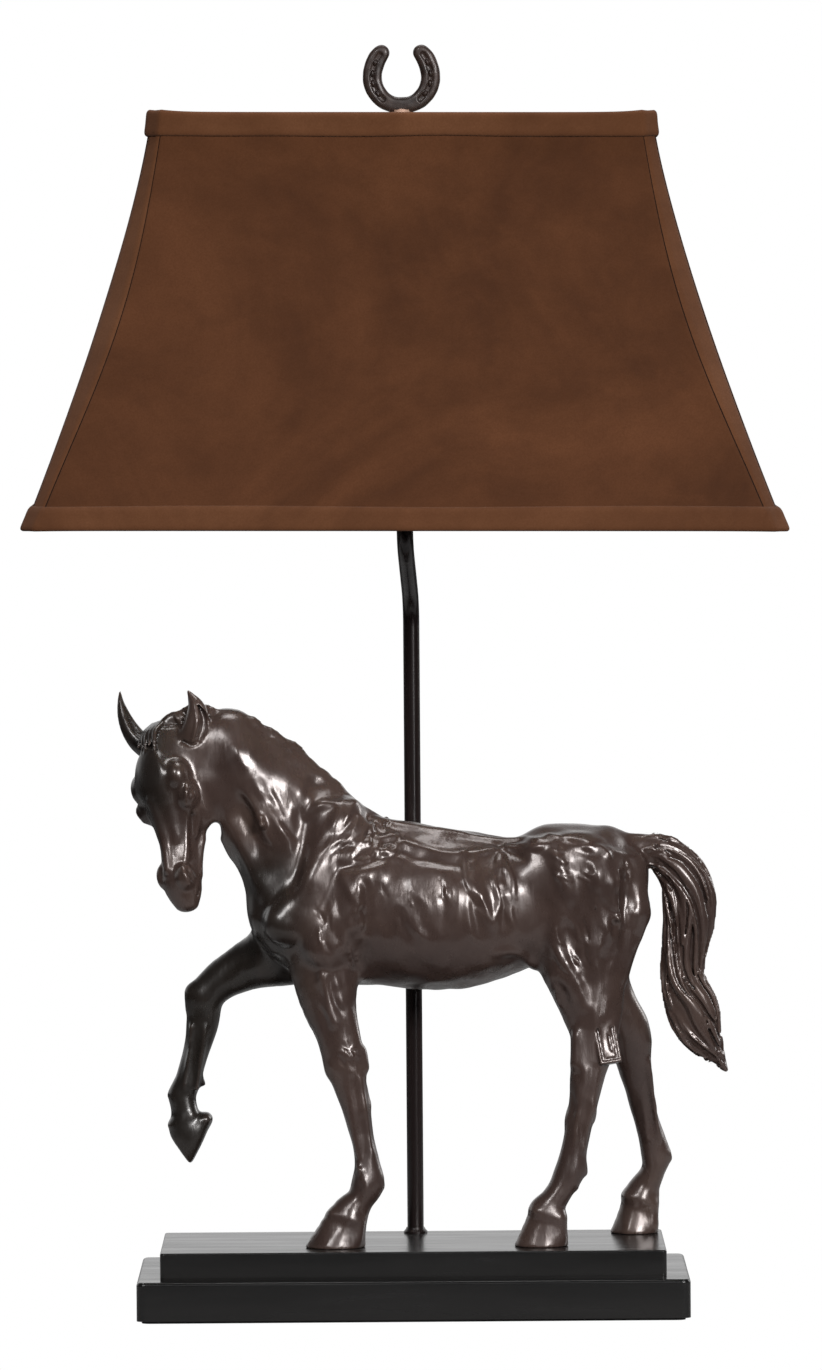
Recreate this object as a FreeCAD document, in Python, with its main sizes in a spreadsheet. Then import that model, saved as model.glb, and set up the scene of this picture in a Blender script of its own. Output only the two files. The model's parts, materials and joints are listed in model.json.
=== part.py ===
"""Table lamp: a bronze horse on a two-tier lacquered base, with a joggled pole, harp and bell shade.

Row frame in millimetres: origin at the centre of the base's underside, +X to the horse's tail,
+Y to the back, +Z up. The pole rises behind the horse and steps forward to the shade's axis.
"""
import FreeCAD, Part
import math
import os
import re

import Sketcher

from FreeCAD import Matrix, Placement, Rotation, Vector

doc = FreeCAD.newDocument("table_lamp")
sheet = doc.addObject("Spreadsheet::Sheet", "sizes")

DRIVING_SIZES = {
    # Base
    "felt_high": 1.5, "lower_wide": 333, "lower_deep": 148, "lower_high": 23.4,
    "upper_wide": 305, "upper_deep": 122, "upper_high": 16.3, "tier_corner": 5, "tier_edge": 2.2,
    "cavity_wide": 292, "cavity_deep": 132, "cavity_high": 13.5,
    "upper_floor": 24.9, "upper_top": 41.2, "web_floor": 15,
    "bushing_x": 45, "bushing_z": 9, "bushing_bore": 3.3, "bushing_body": 5.2, "bushing_lip": 7,
    "bushing_lip_thick": 1.5,
    # Fasteners in the base
    "screw_shank": 2, "screw_head": 4, "screw_head_high": 2.8, "figure_screw_top": 52,
    "tier_screw_top": 36, "washer_thick": 1.2, "washer_radius": 6,
    # Pole
    "pole_radius": 5, "pole_bore": 4, "pole_x": 1.5, "pole_y": 50, "pole_floor": 7, "pole_top": 510,
    "joggle_low": 428, "joggle_high": 466, "joggle_bend": 28, "axis_x": -2,
    "collar_radius": 7.3, "collar_high": 3.5, "locknut_flats": 14.3, "locknut_high": 4,
    "pole_washer_radius": 9.5, "pole_washer_thick": 2,
    # Socket
    "saddle_z": 501, "saddle_thick": 2, "saddle_reach": 31, "saddle_wide": 16,
    "shell_radius": 17, "shell_wall": 0.8, "shell_floor": 519, "shell_high": 41,
    "liner_wall": 0.8, "interior_radius": 12.9, "interior_floor": 519.5, "interior_high": 11,
    "screw_shell_bore": 13.35, "screw_shell_wall": 0.45, "screw_shell_floor": 530.5,
    "screw_shell_high": 27.5, "switch_z": 525, "switch_shaft": 2, "switch_clear": 0.06,
    "switch_start": -6, "switch_reach": 38, "knob_start": 24, "knob_radius": 6.5, "knob_long": 15,
    # Bulb
    "bulb_cap_radius": 13.3, "bulb_cap_floor": 535, "bulb_cap_high": 23, "bulb_radius": 30,
    "bulb_centre": 622, "bulb_neck": 12.6, "glass_wall": 0.8,
    # Harp
    "harp_foot": 27, "tab_radius": 1.6, "tab_top": 518, "sleeve_radius": 3, "sleeve_clear": 0.05,
    "sleeve_floor": 508, "sleeve_top": 529, "wire_radius": 1.5, "harp_wide": 54, "harp_top": 706,
    "ferrule_floor": 503.6, "ferrule_high": 11.5, "ferrule_wall": 1.4,
    "post_radius": 5, "post_floor": 702, "post_high": 9, "stud_radius": 3.1, "stud_top": 725,
    # Shade
    "shade_floor": 478, "shade_top": 725, "shade_wide": 300, "shade_deep": 150, "shade_flare": 75,
    "shade_curve": 1.3, "shade_thick": 1.2, "gusset_ends": 7, "gusset_middle": 12,
    "trim_high": 14, "trim_thick": 2.5, "frame_wire": 1.5, "rib_wire": 1.1,
    "spider_z": 711.3, "spider_thick": 2, "spider_radius": 10, "stud_clear": 0.06,
    # Finial
    "finial_floor": 713.6, "finial_neck_radius": 5.5, "finial_neck_top": 728, "shoe_wide": 46.7,
    "shoe_high": 41, "shoe_branch": 11.5, "shoe_thick": 6,
}
KEPT = {}


def fill_sheet():
    """One row of the sheet per driving size: its name, its value and its alias."""
    for row, (name, value) in enumerate(DRIVING_SIZES.items(), start=1):
        sheet.set(f"A{row}", name.replace("_", " "))
        sheet.set(f"B{row}", str(value))
        sheet.setAlias(f"B{row}", name)
    doc.recompute()


def size(name):
    """A driving size as the sheet holds it."""
    return float(sheet.get(name))


def spelled(expression):
    """The expression with every driving size written as a cell of the sheet."""
    def cell(word):
        return "sizes." + word.group() if word.group() in DRIVING_SIZES else word.group()
    return re.sub(r"[a-z_]+", cell, expression)


def bind(feature, **expressions):
    """Bind properties to the sheet; at_x, at_y and at_z bind the placement."""
    for name, expression in expressions.items():
        path = f".Placement.Base.{name[-1]}" if name.startswith("at_") else name
        feature.setExpression(path, spelled(expression))
    return feature


def keep(node, feature):
    """Give a finished feature the label that names its file."""
    feature.Label = node
    KEPT[node] = feature
    return feature


# ---------------------------------------------------------------- building blocks

def rod(name, radius, length, **place):
    """An upright cylinder."""
    return bind(doc.addObject("Part::Cylinder", name), Radius=radius, Height=length, **place)


def lying_rod(name, radius, length, **place):
    """A cylinder that lies along +Y."""
    feature = rod(name, radius, length)
    feature.Placement = Placement(Vector(), Rotation(Vector(1, 0, 0), -90))
    return bind(feature, **place)


def block(name, long, wide, high, **place):
    return bind(doc.addObject("Part::Box", name), Length=long, Width=wide, Height=high, **place)


def cut(name, base, tool):
    feature = doc.addObject("Part::Cut", name)
    feature.Base, feature.Tool = base, tool
    return feature


def fuse(name, features):
    feature = doc.addObject("Part::MultiFuse", name)
    feature.Shapes = features
    return feature


def group(name, features):
    """Separate solids that share one node."""
    feature = doc.addObject("Part::Compound", name)
    feature.Links = features
    return feature


def ring(name, radius, bore, high, **place):
    """A washer or tube."""
    outer = rod(name + "_outer", radius, high, **place)
    inner = rod(name + "_inner", bore, high, **place)
    return cut(name, outer, inner)


def shaped(name, shape, offset=Vector()):
    """A feature whose shape is made directly."""
    feature = doc.addObject("Part::Feature", name)
    feature.Shape = shape
    feature.Placement = Placement(offset, Rotation())
    return feature


def origin_plane(body, role):
    return next(part for part in body.Origin.OriginFeatures if part.Role == role)


def new_sketch(body, name, role):
    sketch = body.newObject("Sketcher::SketchObject", name)
    sketch.AttachmentSupport = (origin_plane(body, role), [""])
    sketch.MapMode = "FlatFace"
    return sketch


def pin_point(sketch, line, across, up):
    """Hold the start of a line at expressions for its two distances from the sketch's origin."""
    for kind, expression, axis in (("DistanceX", across, -2), ("DistanceY", up, -1)):
        if expression == "0":
            sketch.addConstraint(Sketcher.Constraint("PointOnObject", line, 1, axis))
            continue
        index = sketch.addConstraint(Sketcher.Constraint(kind, -1, 1, line, 1, 10.0 + line))
        sketch.setExpression(f"Constraints[{index}]", spelled(expression))


def closed_outline(sketch, points):
    """A closed outline of straight lines through points given as pairs of expressions."""
    count = len(points)
    turn = 2 * math.pi / count
    spots = [Vector(20 + 10 * math.cos(i * turn), 20 + 10 * math.sin(i * turn), 0) for i in range(count)]
    for i in range(count):
        sketch.addGeometry(Part.LineSegment(spots[i], spots[(i + 1) % count]), False)
    for i in range(count):
        sketch.addConstraint(Sketcher.Constraint("Coincident", i, 2, (i + 1) % count, 1))
    for i, (across, up) in enumerate(points):
        pin_point(sketch, i, across, up)


def turned(name, outline, **place):
    """A body turned about the upright axis from an outline of (radius, height) expressions."""
    body = doc.addObject("PartDesign::Body", name)
    sketch = new_sketch(body, name + "_outline", "XZ_Plane")
    closed_outline(sketch, outline)
    feature = body.newObject("PartDesign::Revolution", name + "_turned")
    feature.Profile = sketch
    feature.ReferenceAxis = (sketch, ["V_Axis"])
    feature.Angle = 360
    sketch.Visibility = False
    return bind(body, **place)


def slab(name, wide, deep, high, corner, edge=None, **place):
    """A rectangular pad centred on the axis, with rounded corners and a rounded top edge."""
    body = doc.addObject("PartDesign::Body", name)
    sketch = new_sketch(body, name + "_plan", "XY_Plane")
    spots = [Vector(-30, -20, 0), Vector(30, -20, 0), Vector(30, 20, 0), Vector(-30, 20, 0)]
    for i in range(4):
        sketch.addGeometry(Part.LineSegment(spots[i], spots[(i + 1) % 4]), False)
        sketch.addConstraint(Sketcher.Constraint("Horizontal" if i % 2 == 0 else "Vertical", i))
    for i in range(4):
        sketch.addConstraint(Sketcher.Constraint("Coincident", i, 2, (i + 1) % 4, 1))
    sketch.addConstraint(Sketcher.Constraint("Symmetric", 0, 1, 1, 2, -1, 1))
    across = sketch.addConstraint(Sketcher.Constraint("DistanceX", 0, 1, 0, 2, 60))
    sketch.setExpression(f"Constraints[{across}]", spelled(wide))
    along = sketch.addConstraint(Sketcher.Constraint("DistanceY", 1, 1, 1, 2, 40))
    sketch.setExpression(f"Constraints[{along}]", spelled(deep))
    pad = body.newObject("PartDesign::Pad", name + "_pad")
    pad.Profile = sketch
    bind(pad, Length=high)
    doc.recompute()
    upright = [f"Edge{i + 1}" for i, item in enumerate(pad.Shape.Edges)
               if abs(item.tangentAt(item.FirstParameter).z) > 0.99]
    rounded = body.newObject("PartDesign::Fillet", name + "_corners")
    rounded.Base = (pad, upright)
    bind(rounded, Radius=corner)
    if edge:
        doc.recompute()
        top = rounded.Shape.BoundBox.ZMax
        rim = [f"Edge{i + 1}" for i, item in enumerate(rounded.Shape.Edges)
               if item.BoundBox.ZMin > top - 0.01]
        eased = body.newObject("PartDesign::Fillet", name + "_edge")
        eased.Base = (rounded, rim)
        bind(eased, Radius=edge)
    sketch.Visibility = False
    return bind(body, **place)


def rounded_route(points, radii):
    """A wire of straight runs joined by tangent arcs."""
    edges = []
    start = points[0]
    for before, corner, after, radius in zip(points, points[1:], points[2:], radii):
        back = (before - corner).normalize()
        ahead = (after - corner).normalize()
        half = (math.pi - back.getAngle(ahead)) / 2
        reach = radius * math.tan(half)
        enter, leave = corner + back * reach, corner + ahead * reach
        middle_way = (back + ahead).normalize()
        middle = corner + middle_way * (radius / math.cos(half) - radius)
        edges.append(Part.LineSegment(start, enter).toShape())
        edges.append(Part.Arc(enter, middle, leave).toShape())
        start = leave
    edges.append(Part.LineSegment(start, points[-1]).toShape())
    return Part.Wire(edges)


def swept(route, radius):
    """A round bar of one radius along a route."""
    first = route.Edges[0]
    section = Part.Wire(Part.makeCircle(radius, first.firstVertex().Point, first.tangentAt(0)))
    return route.makePipeShell([section], True, True)


# ---------------------------------------------------------------- base

FIGURE_SCREWS = ((-46, -31), (78, -31), (135, 35))
TIER_SCREWS = ((-110, -20), (-110, 20), (30, -20), (50, 20))


def screw(name, x, y, head_top, tip):
    """A pan-head screw that points up, its head's upper face at head_top."""
    place = {"at_x": str(x), "at_y": str(y)}
    head = rod(name + "_head", "screw_head", "screw_head_high", at_z=f"{head_top} - screw_head_high", **place)
    shank = rod(name + "_shank", "screw_shank", f"{tip} - ({head_top})", at_z=head_top, **place)
    return fuse(name, [head, shank])


def make_base():
    lower = slab("lower_block", "lower_wide", "lower_deep", "lower_high", "tier_corner", "tier_edge",
                 at_z="felt_high")
    cavity = slab("cavity_block", "cavity_wide", "cavity_deep", "cavity_high", "tier_corner",
                  at_z="felt_high")
    tools = [cavity, rod("lower_pole_hole", "pole_radius", "lower_high", at_x="pole_x", at_y="pole_y",
                         at_z="felt_high")]
    tools += [rod(f"lower_screw_hole_{i}", "screw_shank", "lower_high", at_x=str(x), at_y=str(y),
                  at_z="felt_high") for i, (x, y) in enumerate(FIGURE_SCREWS + TIER_SCREWS)]
    tools.append(lying_rod("bushing_hole", "bushing_body", "lower_deep / 2", at_x="bushing_x",
                           at_y="cavity_deep / 2 - 5", at_z="bushing_z"))
    keep("base_lower_tier", cut("lower_tier", lower, fuse("lower_tools", tools)))

    upper = slab("upper_block", "upper_wide", "upper_deep", "upper_high", "tier_corner / 2",
                 "tier_edge / 2", at_z="upper_floor")
    tools = [rod("upper_pole_hole", "pole_radius", "upper_high", at_x="pole_x", at_y="pole_y",
                 at_z="upper_floor")]
    tools += [rod(f"upper_figure_hole_{i}", "screw_shank", "upper_high", at_x=str(x), at_y=str(y),
                  at_z="upper_floor") for i, (x, y) in enumerate(FIGURE_SCREWS)]
    tools += [rod(f"upper_tier_hole_{i}", "screw_shank", "tier_screw_top - upper_floor", at_x=str(x),
                  at_y=str(y), at_z="upper_floor") for i, (x, y) in enumerate(TIER_SCREWS)]
    keep("base_upper_tier", cut("upper_tier", upper, fuse("upper_tools", tools)))
    keep("base_felt", slab("felt", "lower_wide - 6", "lower_deep - 6", "felt_high", "tier_corner"))

    figure = [screw(f"figure_screw_{i}", x, y, "web_floor - washer_thick", "figure_screw_top")
              for i, (x, y) in enumerate(FIGURE_SCREWS)]
    keep("figure_screws", group("figure_screw_set", figure))
    washers = [ring(f"figure_washer_{i}", "washer_radius", "screw_shank", "washer_thick", at_x=str(x),
                    at_y=str(y), at_z="web_floor - washer_thick") for i, (x, y) in enumerate(FIGURE_SCREWS)]
    keep("figure_washers", group("figure_washer_set", washers))
    tier = [screw(f"tier_screw_{i}", x, y, "web_floor", "tier_screw_top")
            for i, (x, y) in enumerate(TIER_SCREWS)]
    keep("tier_screws", group("tier_screw_set", tier))


def make_bushing():
    """The cord's bushing in the back wall, a lip on each face of the wall."""
    outside = "lower_deep / 2"
    inside = "cavity_deep / 2"
    place = {"at_x": "bushing_x", "at_z": "bushing_z"}
    body = lying_rod("bushing_barrel", "bushing_body", f"{outside} - {inside}", at_y=inside, **place)
    outer = lying_rod("bushing_outer_lip", "bushing_lip", "bushing_lip_thick", at_y=outside, **place)
    inner = lying_rod("bushing_inner_lip", "bushing_lip - 1", "bushing_lip_thick",
                      at_y=f"{inside} - bushing_lip_thick", **place)
    bore = lying_rod("bushing_bore_hole", "bushing_bore", "20", at_y=f"{inside} - 5", **place)
    keep("cord_bushing", cut("bushing", fuse("bushing_solid", [body, outer, inner]), bore))


# ---------------------------------------------------------------- pole

def pole_route(extra=0):
    """The pole's centre line, from its lower end to its top, with an optional overrun at both ends."""
    foot_x, foot_y, axis_x = size("pole_x"), size("pole_y"), size("axis_x")
    points = [Vector(foot_x, foot_y, size("pole_floor") - extra), Vector(foot_x, foot_y, size("joggle_low")),
              Vector(axis_x, 0, size("joggle_high")), Vector(axis_x, 0, size("pole_top") + extra)]
    return rounded_route(points, [size("joggle_bend")] * 2)


def hex_nut(name, at_x, at_y, at_z):
    prism = doc.addObject("Part::Prism", name + "_hex")
    prism.Polygon = 6
    bind(prism, Circumradius="locknut_flats / 2 / cos(30)", Height="locknut_high",
         at_x=at_x, at_y=at_y, at_z=at_z)
    hole = rod(name + "_hole", "pole_radius", "locknut_high", at_x=at_x, at_y=at_y, at_z=at_z)
    return cut(name, prism, hole)


def make_pole():
    tube = swept(pole_route(), size("pole_radius")).cut(swept(pole_route(1), size("pole_bore")))
    keep("pole", shaped("pole_tube", tube))
    keep("pole_collar", turned("collar", [
        ("pole_radius", "0"), ("collar_radius", "0"), ("collar_radius", "collar_high * 0.3"),
        ("pole_radius + 1", "collar_high * 0.7"), ("pole_radius + 0.6", "collar_high"),
        ("pole_radius", "collar_high")], at_x="pole_x", at_y="pole_y", at_z="upper_top"))
    keep("pole_washer", ring("pole_washer_ring", "pole_washer_radius", "pole_radius", "pole_washer_thick",
                             at_x="pole_x", at_y="pole_y", at_z="web_floor - pole_washer_thick"))
    keep("pole_locknut", hex_nut("base_nut", "pole_x", "pole_y",
                                 "web_floor - pole_washer_thick - locknut_high"))
    keep("saddle_nut", hex_nut("upper_nut", "axis_x", "0", "saddle_z - locknut_high"))


# ---------------------------------------------------------------- horse

LIMBS = {
    # Each station: x, y, z of its centre, half reach along the body, half width across it.
    "barrel": ((-101, -5, 243, 12, 10), (-94, -5, 243, 28, 22), (-76, -5, 246, 43, 31),
               (-45, -5, 250, 52, 35), (-10, -5, 247, 51, 36), (25, -5, 243, 48, 36),
               (60, -5, 246, 41, 33), (90, -5, 256, 38, 33), (120, -5, 261, 31, 28),
               (138, -5, 264, 21, 18), (147, -5, 266, 7, 7)),
    "neck": ((-48, -5, 262, 42, 30), (-66, -5, 285, 42, 24), (-83, -5, 305, 38, 20),
             (-99, -6, 322, 34, 18), (-114, -7, 334, 29, 16), (-128, -8, 338, 24, 15)),
    "head": ((-147, -6, 354, 16, 13), (-146, -10, 338, 22, 18), (-146, -16, 319, 24.5, 20),
             (-143, -22, 301, 19.5, 17), (-140, -27, 285, 14.5, 14), (-140, -32, 269, 14, 13),
             (-139, -35, 256, 11.5, 11), (-138, -37, 247, 6, 7)),
    "near_ear": ((-131.5, -13, 344, 8, 6), (-132, -12, 358, 7, 4), (-133, -11, 377, 1.2, 1.2)),
    "far_ear": ((-160, 8, 342, 7, 6), (-167, 11, 358, 6, 4), (-176, 14, 374, 1.2, 1.2)),
    "near_fore": ((-52, -17, 232, 24, 15), (-52, -23, 208, 20, 14), (-48, -27, 181, 15, 12),
                  (-41, -29, 155, 12.5, 11), (-36, -30, 133, 9.5, 9), (-30.5, -30, 108, 6.8, 7.5),
                  (-27.5, -30, 90, 8, 8), (-28.5, -30.5, 76, 9.3, 8.5), (-34, -31, 67, 9, 9),
                  (-42, -31, 57, 13, 11.5), (-46, -31, 47, 16, 13.5), (-46, -31, 41.2, 16.5, 14)),
    "raised_arm": ((-68, 4, 222, 24, 15), (-92, 11, 212, 17, 13), (-112, 15, 201, 14, 12),
                   (-129, 16, 191, 10, 10)),
    "raised_cannon": ((-124, 16, 196, 10, 10), (-126, 16.5, 184, 11, 10.5), (-128, 17, 170, 9.8, 9.3),
                      (-133, 18, 150, 8.5, 8), (-138.5, 18, 131, 9, 8.5), (-137.5, 18, 118, 9.5, 9),
                      (-136.5, 18, 106, 11.5, 10.5), (-137, 18, 94, 6, 8)),
    "near_hind": ((99, -15, 236, 31, 18), (103, -20, 210, 26, 16), (108, -22, 190, 21, 14),
                  (110, -24, 172, 15.5, 12), (107.5, -26, 156, 13, 10.5), (105.5, -28, 140, 10.8, 9.3),
                  (102, -29, 120, 8.7, 8), (98, -30, 100, 8.2, 7.8), (95, -30, 84, 9.8, 8.6),
                  (90, -30.5, 74, 8.5, 8.5), (83, -31, 65, 10, 10), (79.5, -31, 56, 12.5, 12),
                  (78, -31, 47, 15, 13.5), (78, -31, 41.2, 15.3, 14)),
    "far_hind": ((110, 6, 236, 27, 15), (122, 15, 202, 20, 14), (132, 23, 172, 13.5, 12),
                 (134, 27, 152, 11.5, 10.5), (138, 30, 132, 8.7, 8.5), (143.5, 32, 110, 8, 8),
                 (148, 33, 91, 9, 9), (147, 34, 80, 8, 8.5), (142, 35, 69, 11, 10.5),
                 (137, 35, 57, 14, 12), (135, 35, 47, 15.5, 12.6), (135, 35, 41.2, 15.7, 12.8)),
    "tail": ((136, -5, 284, 9, 9), (150, -5, 292, 9, 9), (166, -5, 282, 10, 10), (170, -5, 256, 14, 11),
             (168, -5, 232, 16, 11), (165, -5, 210, 14.5, 10), (168, -5, 188, 16, 10),
             (174, -5, 170, 15.5, 9), (181, -5, 155, 9, 6), (187, -5, 144, 2.5, 2.5)),
}
STANDING_LIMBS = ("near_fore", "near_hind", "far_hind")


def oval(station, along):
    """A closed oval about a station, square to the limb's direction."""
    x, y, z, reach, across = station
    side = Vector(0, 1, 0)
    out = side.cross(along).normalize()
    side = along.cross(out).normalize()
    frame = Matrix(out.x * reach, side.x * across, along.x, x, out.y * reach, side.y * across, along.y, y,
                   out.z * reach, side.z * across, along.z, z, 0, 0, 0, 1)
    return Part.Wire(Part.makeCircle(1).transformGeometry(frame).Edges)


def limb(name):
    """A loft through a limb's stations; a standing limb ends level, on its hoof."""
    stations = LIMBS[name]
    centres = [Vector(*station[:3]) for station in stations]
    ovals = []
    for i, station in enumerate(stations):
        along = (centres[min(i + 1, len(centres) - 1)] - centres[max(i - 1, 0)]).normalize()
        if name in STANDING_LIMBS and i >= len(stations) - 2:
            along = Vector(0, 0, -1)
        ovals.append(oval(station, along))
    return Part.makeLoft(ovals, True, False)


def make_horse():
    figure = limb("barrel").fuse([limb(name) for name in LIMBS if name != "barrel"])
    for x, y in FIGURE_SCREWS:
        depth = size("figure_screw_top") - size("upper_top")
        figure = figure.cut(Part.makeCylinder(size("screw_shank"), depth, Vector(x, y, size("upper_top"))))
    keep("horse_figure", shaped("horse_casting", figure.Solids[0] if len(figure.Solids) == 1 else figure))


# ---------------------------------------------------------------- socket and switch

def make_socket():
    on_axis = {"at_x": "axis_x"}
    top = "shell_floor - saddle_z - saddle_thick"
    keep("socket_cap", turned("cap", [
        ("pole_radius", "0"), ("pole_radius + 3", "0"), ("pole_radius + 3", "6"), ("shell_radius", "11"),
        ("shell_radius", top), ("shell_radius - 1", top), ("shell_radius - 1", "12"),
        ("pole_radius + 2", "7.2"), ("pole_radius", "7")], at_z="saddle_z + saddle_thick", **on_axis))
    shell = ring("shell_tube", "shell_radius", "shell_radius - shell_wall", "shell_high",
                 at_z="shell_floor", **on_axis)
    hole = lying_rod("shell_hole", "switch_shaft + switch_clear", "shell_radius * 1.5",
                     at_x="axis_x", at_y="-shell_radius * 1.6", at_z="switch_z")
    keep("socket_shell", cut("shell", shell, hole))
    liner = ring("liner_tube", "shell_radius - shell_wall", "shell_radius - shell_wall - liner_wall",
                 "shell_high - 1", at_z="shell_floor", **on_axis)
    liner_hole = lying_rod("liner_hole", "switch_shaft + switch_clear", "shell_radius * 1.5",
                           at_x="axis_x", at_y="-shell_radius * 1.6", at_z="switch_z")
    keep("socket_insulator", cut("liner", liner, liner_hole))
    core = rod("interior_core", "interior_radius", "interior_high", at_z="interior_floor", **on_axis)
    shaft_way = lying_rod("interior_hole", "switch_shaft + switch_clear", "interior_radius * 2 - 4",
                          at_x="axis_x", at_y="-interior_radius * 2", at_z="switch_z")
    keep("socket_interior", cut("interior", core, shaft_way))
    keep("socket_screw_shell", ring("screw_shell", "screw_shell_bore + screw_shell_wall", "screw_shell_bore",
                                    "screw_shell_high", at_z="screw_shell_floor", **on_axis))
    keep("socket_contact", turned("contact_tab", [
        ("0", "0"), ("5", "0"), ("5", "0.8"), ("2", "1.4"), ("0", "1.4")], at_z="screw_shell_floor", **on_axis))
    screws = []
    for side in (-1, 1):
        start = "interior_radius" if side > 0 else "-interior_radius - 2"
        terminal = rod(f"terminal_{side + 1}", "2.2", "2")
        terminal.Placement = Placement(Vector(), Rotation(Vector(0, 1, 0), 90))
        screws.append(bind(terminal, at_x=f"axis_x + {start}", at_z="switch_z"))
    keep("terminal_screws", group("terminal_pair", screws))


def make_switch():
    """The turn switch: its shaft and its fluted knob point to the front."""
    shaft = lying_rod("shaft_rod", "switch_shaft", "switch_reach - (-switch_start)", at_x="axis_x",
                      at_y="-switch_reach", at_z="switch_z")
    keep("switch_shaft", shaft)
    body = doc.addObject("PartDesign::Body", "knob_body")
    sketch = new_sketch(body, "knob_outline", "XZ_Plane")
    closed_outline(sketch, [("switch_shaft", "0"), ("knob_radius - 1", "0"), ("knob_radius", "2"),
                            ("knob_radius - 0.8", "knob_long - 2"), ("knob_radius - 2", "knob_long"),
                            ("0", "knob_long"), ("0", "knob_long - 1"), ("switch_shaft", "knob_long - 1")])
    turn = body.newObject("PartDesign::Revolution", "knob_turned")
    turn.Profile = sketch
    turn.ReferenceAxis = (sketch, ["V_Axis"])
    turn.Angle = 360
    sketch.Visibility = False
    body.Placement = Placement(Vector(), Rotation(Vector(1, 0, 0), 90))
    bind(body, at_x="axis_x", at_y="-knob_start", at_z="switch_z")
    keep("switch_knob", body)


# ---------------------------------------------------------------- bulb

def make_bulb():
    on_axis = {"at_x": "axis_x"}
    keep("bulb_cap", ring("cap_tube", "bulb_cap_radius", "bulb_cap_radius - 0.6", "bulb_cap_high",
                          at_z="bulb_cap_floor", **on_axis))
    keep("bulb_insulator", turned("bulb_glass_button", [
        ("0", "0"), ("5", "0"), ("bulb_cap_radius - 0.7", "3"), ("bulb_cap_radius - 0.7", "5"), ("0", "5")],
        at_z="bulb_cap_floor - 1", **on_axis))
    keep("bulb_contact", rod("bulb_button", "4", "1.2", at_z="bulb_cap_floor - 2.2", **on_axis))
    globe = glass_profile(0)
    hollow = glass_profile(size("glass_wall"))
    keep("bulb_globe", shaped("globe", globe.cut(hollow), Vector(size("axis_x"), 0, 0)))
    keep("bulb_stem", turned("stem", [("0", "0"), ("7", "0"), ("3", "10"), ("2", "38"), ("0", "40")],
                             at_z="bulb_cap_floor + 8", **on_axis))
    ends = [Vector(size("axis_x") + x, 0, z) for x, z in ((-1.2, 583), (-14, 612), (14, 612), (1.2, 583))]
    keep("bulb_filament", shaped("filament_wire", swept(rounded_route(ends, [3, 3]), 0.3)))


def glass_profile(inset):
    """The globe's solid of revolution about Z, inset for its hollow."""
    neck, ball = size("bulb_neck") - inset, size("bulb_radius") - inset
    low, centre = size("bulb_cap_floor") + 6 + inset * 2, size("bulb_centre")
    neck_top = size("bulb_cap_floor") + size("bulb_cap_high") + 2
    slope = math.radians(38)
    shoulder = Vector(ball * math.cos(slope), 0, centre - ball * math.sin(slope))
    flank = Part.BSplineCurve()
    flank.interpolate([Vector(neck, 0, neck_top), shoulder],
                      Tangents=[Vector(0, 0, 30), Vector(math.sin(slope), 0, math.cos(slope)) * 30],
                      TangentFlags=[True, True])
    top = Vector(0, 0, centre + ball)
    side = Vector(ball * math.cos(math.radians(25)), 0, centre + ball * math.sin(math.radians(25)))
    edges = [Part.LineSegment(Vector(0, 0, low), Vector(neck, 0, low)).toShape(),
             Part.LineSegment(Vector(neck, 0, low), Vector(neck, 0, neck_top)).toShape(),
             flank.toShape(), Part.Arc(shoulder, side, top).toShape(),
             Part.LineSegment(top, Vector(0, 0, low)).toShape()]
    return Part.Face(Part.Wire(edges)).revolve(Vector(), Vector(0, 0, 1), 360)


# ---------------------------------------------------------------- harp

def make_harp():
    strap = block("saddle_strap", "saddle_reach * 2", "saddle_wide", "saddle_thick",
                  at_x="axis_x - saddle_reach", at_y="-saddle_wide / 2", at_z="saddle_z")
    tabs = [rod(f"saddle_tab_{i}", "tab_radius", "tab_top - saddle_z", at_x=f"axis_x {sign} harp_foot",
                at_z="saddle_z") for i, sign in enumerate("-+")]
    hole = rod("saddle_hole", "pole_radius", "saddle_thick", at_x="axis_x", at_z="saddle_z")
    keep("harp_saddle", cut("saddle", fuse("saddle_solid", [strap] + tabs), hole))

    foot, wide, top, middle = size("harp_foot"), size("harp_wide"), size("harp_top"), size("axis_x")
    start, radius = size("sleeve_top"), size("wire_radius")
    half = ((foot, start - 2), (foot, start + 12), (wide, start + 70), (wide, top - 50), (wide / 2, top))
    points = [Vector(middle - x, 0, z) for x, z in half] + [Vector(middle + x, 0, z) for x, z in half[::-1]]
    wire = swept(rounded_route(points, [20, 40, 30, 24, 24, 30, 40, 20]), radius)
    sleeves = []
    for side in (-1, 1):
        place = Vector(middle + side * foot, 0, size("sleeve_floor"))
        sleeve = Part.makeCylinder(size("sleeve_radius"), size("sleeve_top") - size("sleeve_floor"), place)
        bore = size("tab_radius") + size("sleeve_clear")
        sleeves.append(sleeve.cut(Part.makeCylinder(bore, size("tab_top") - size("sleeve_floor") + 0.5, place)))
    bow = wire.fuse(sleeves)
    keep("harp_wire", shaped("harp_bow", bow))

    post = rod("post_cap", "post_radius", "post_high", at_x="axis_x", at_z="post_floor")
    stud = rod("post_stud", "stud_radius", "stud_top - post_floor - post_high", at_x="axis_x",
               at_z="post_floor + post_high")
    keep("harp_post", cut("post", fuse("post_solid", [post, stud]), shaped("post_wire_way", wire)))
    for name, sign in (("ferrule_left", "-"), ("ferrule_right", "+")):
        keep(name, ring(name + "_ring", "sleeve_radius + sleeve_clear + ferrule_wall",
                        "sleeve_radius + sleeve_clear", "ferrule_high", at_x=f"axis_x {sign} harp_foot",
                        at_z="ferrule_floor"))


# ---------------------------------------------------------------- shade

STATIONS = (0.15, 0.3, 0.45, 0.6, 0.72, 0.82, 0.91)
SHADE_SIDES = ("front", "right", "back", "left")


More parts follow.
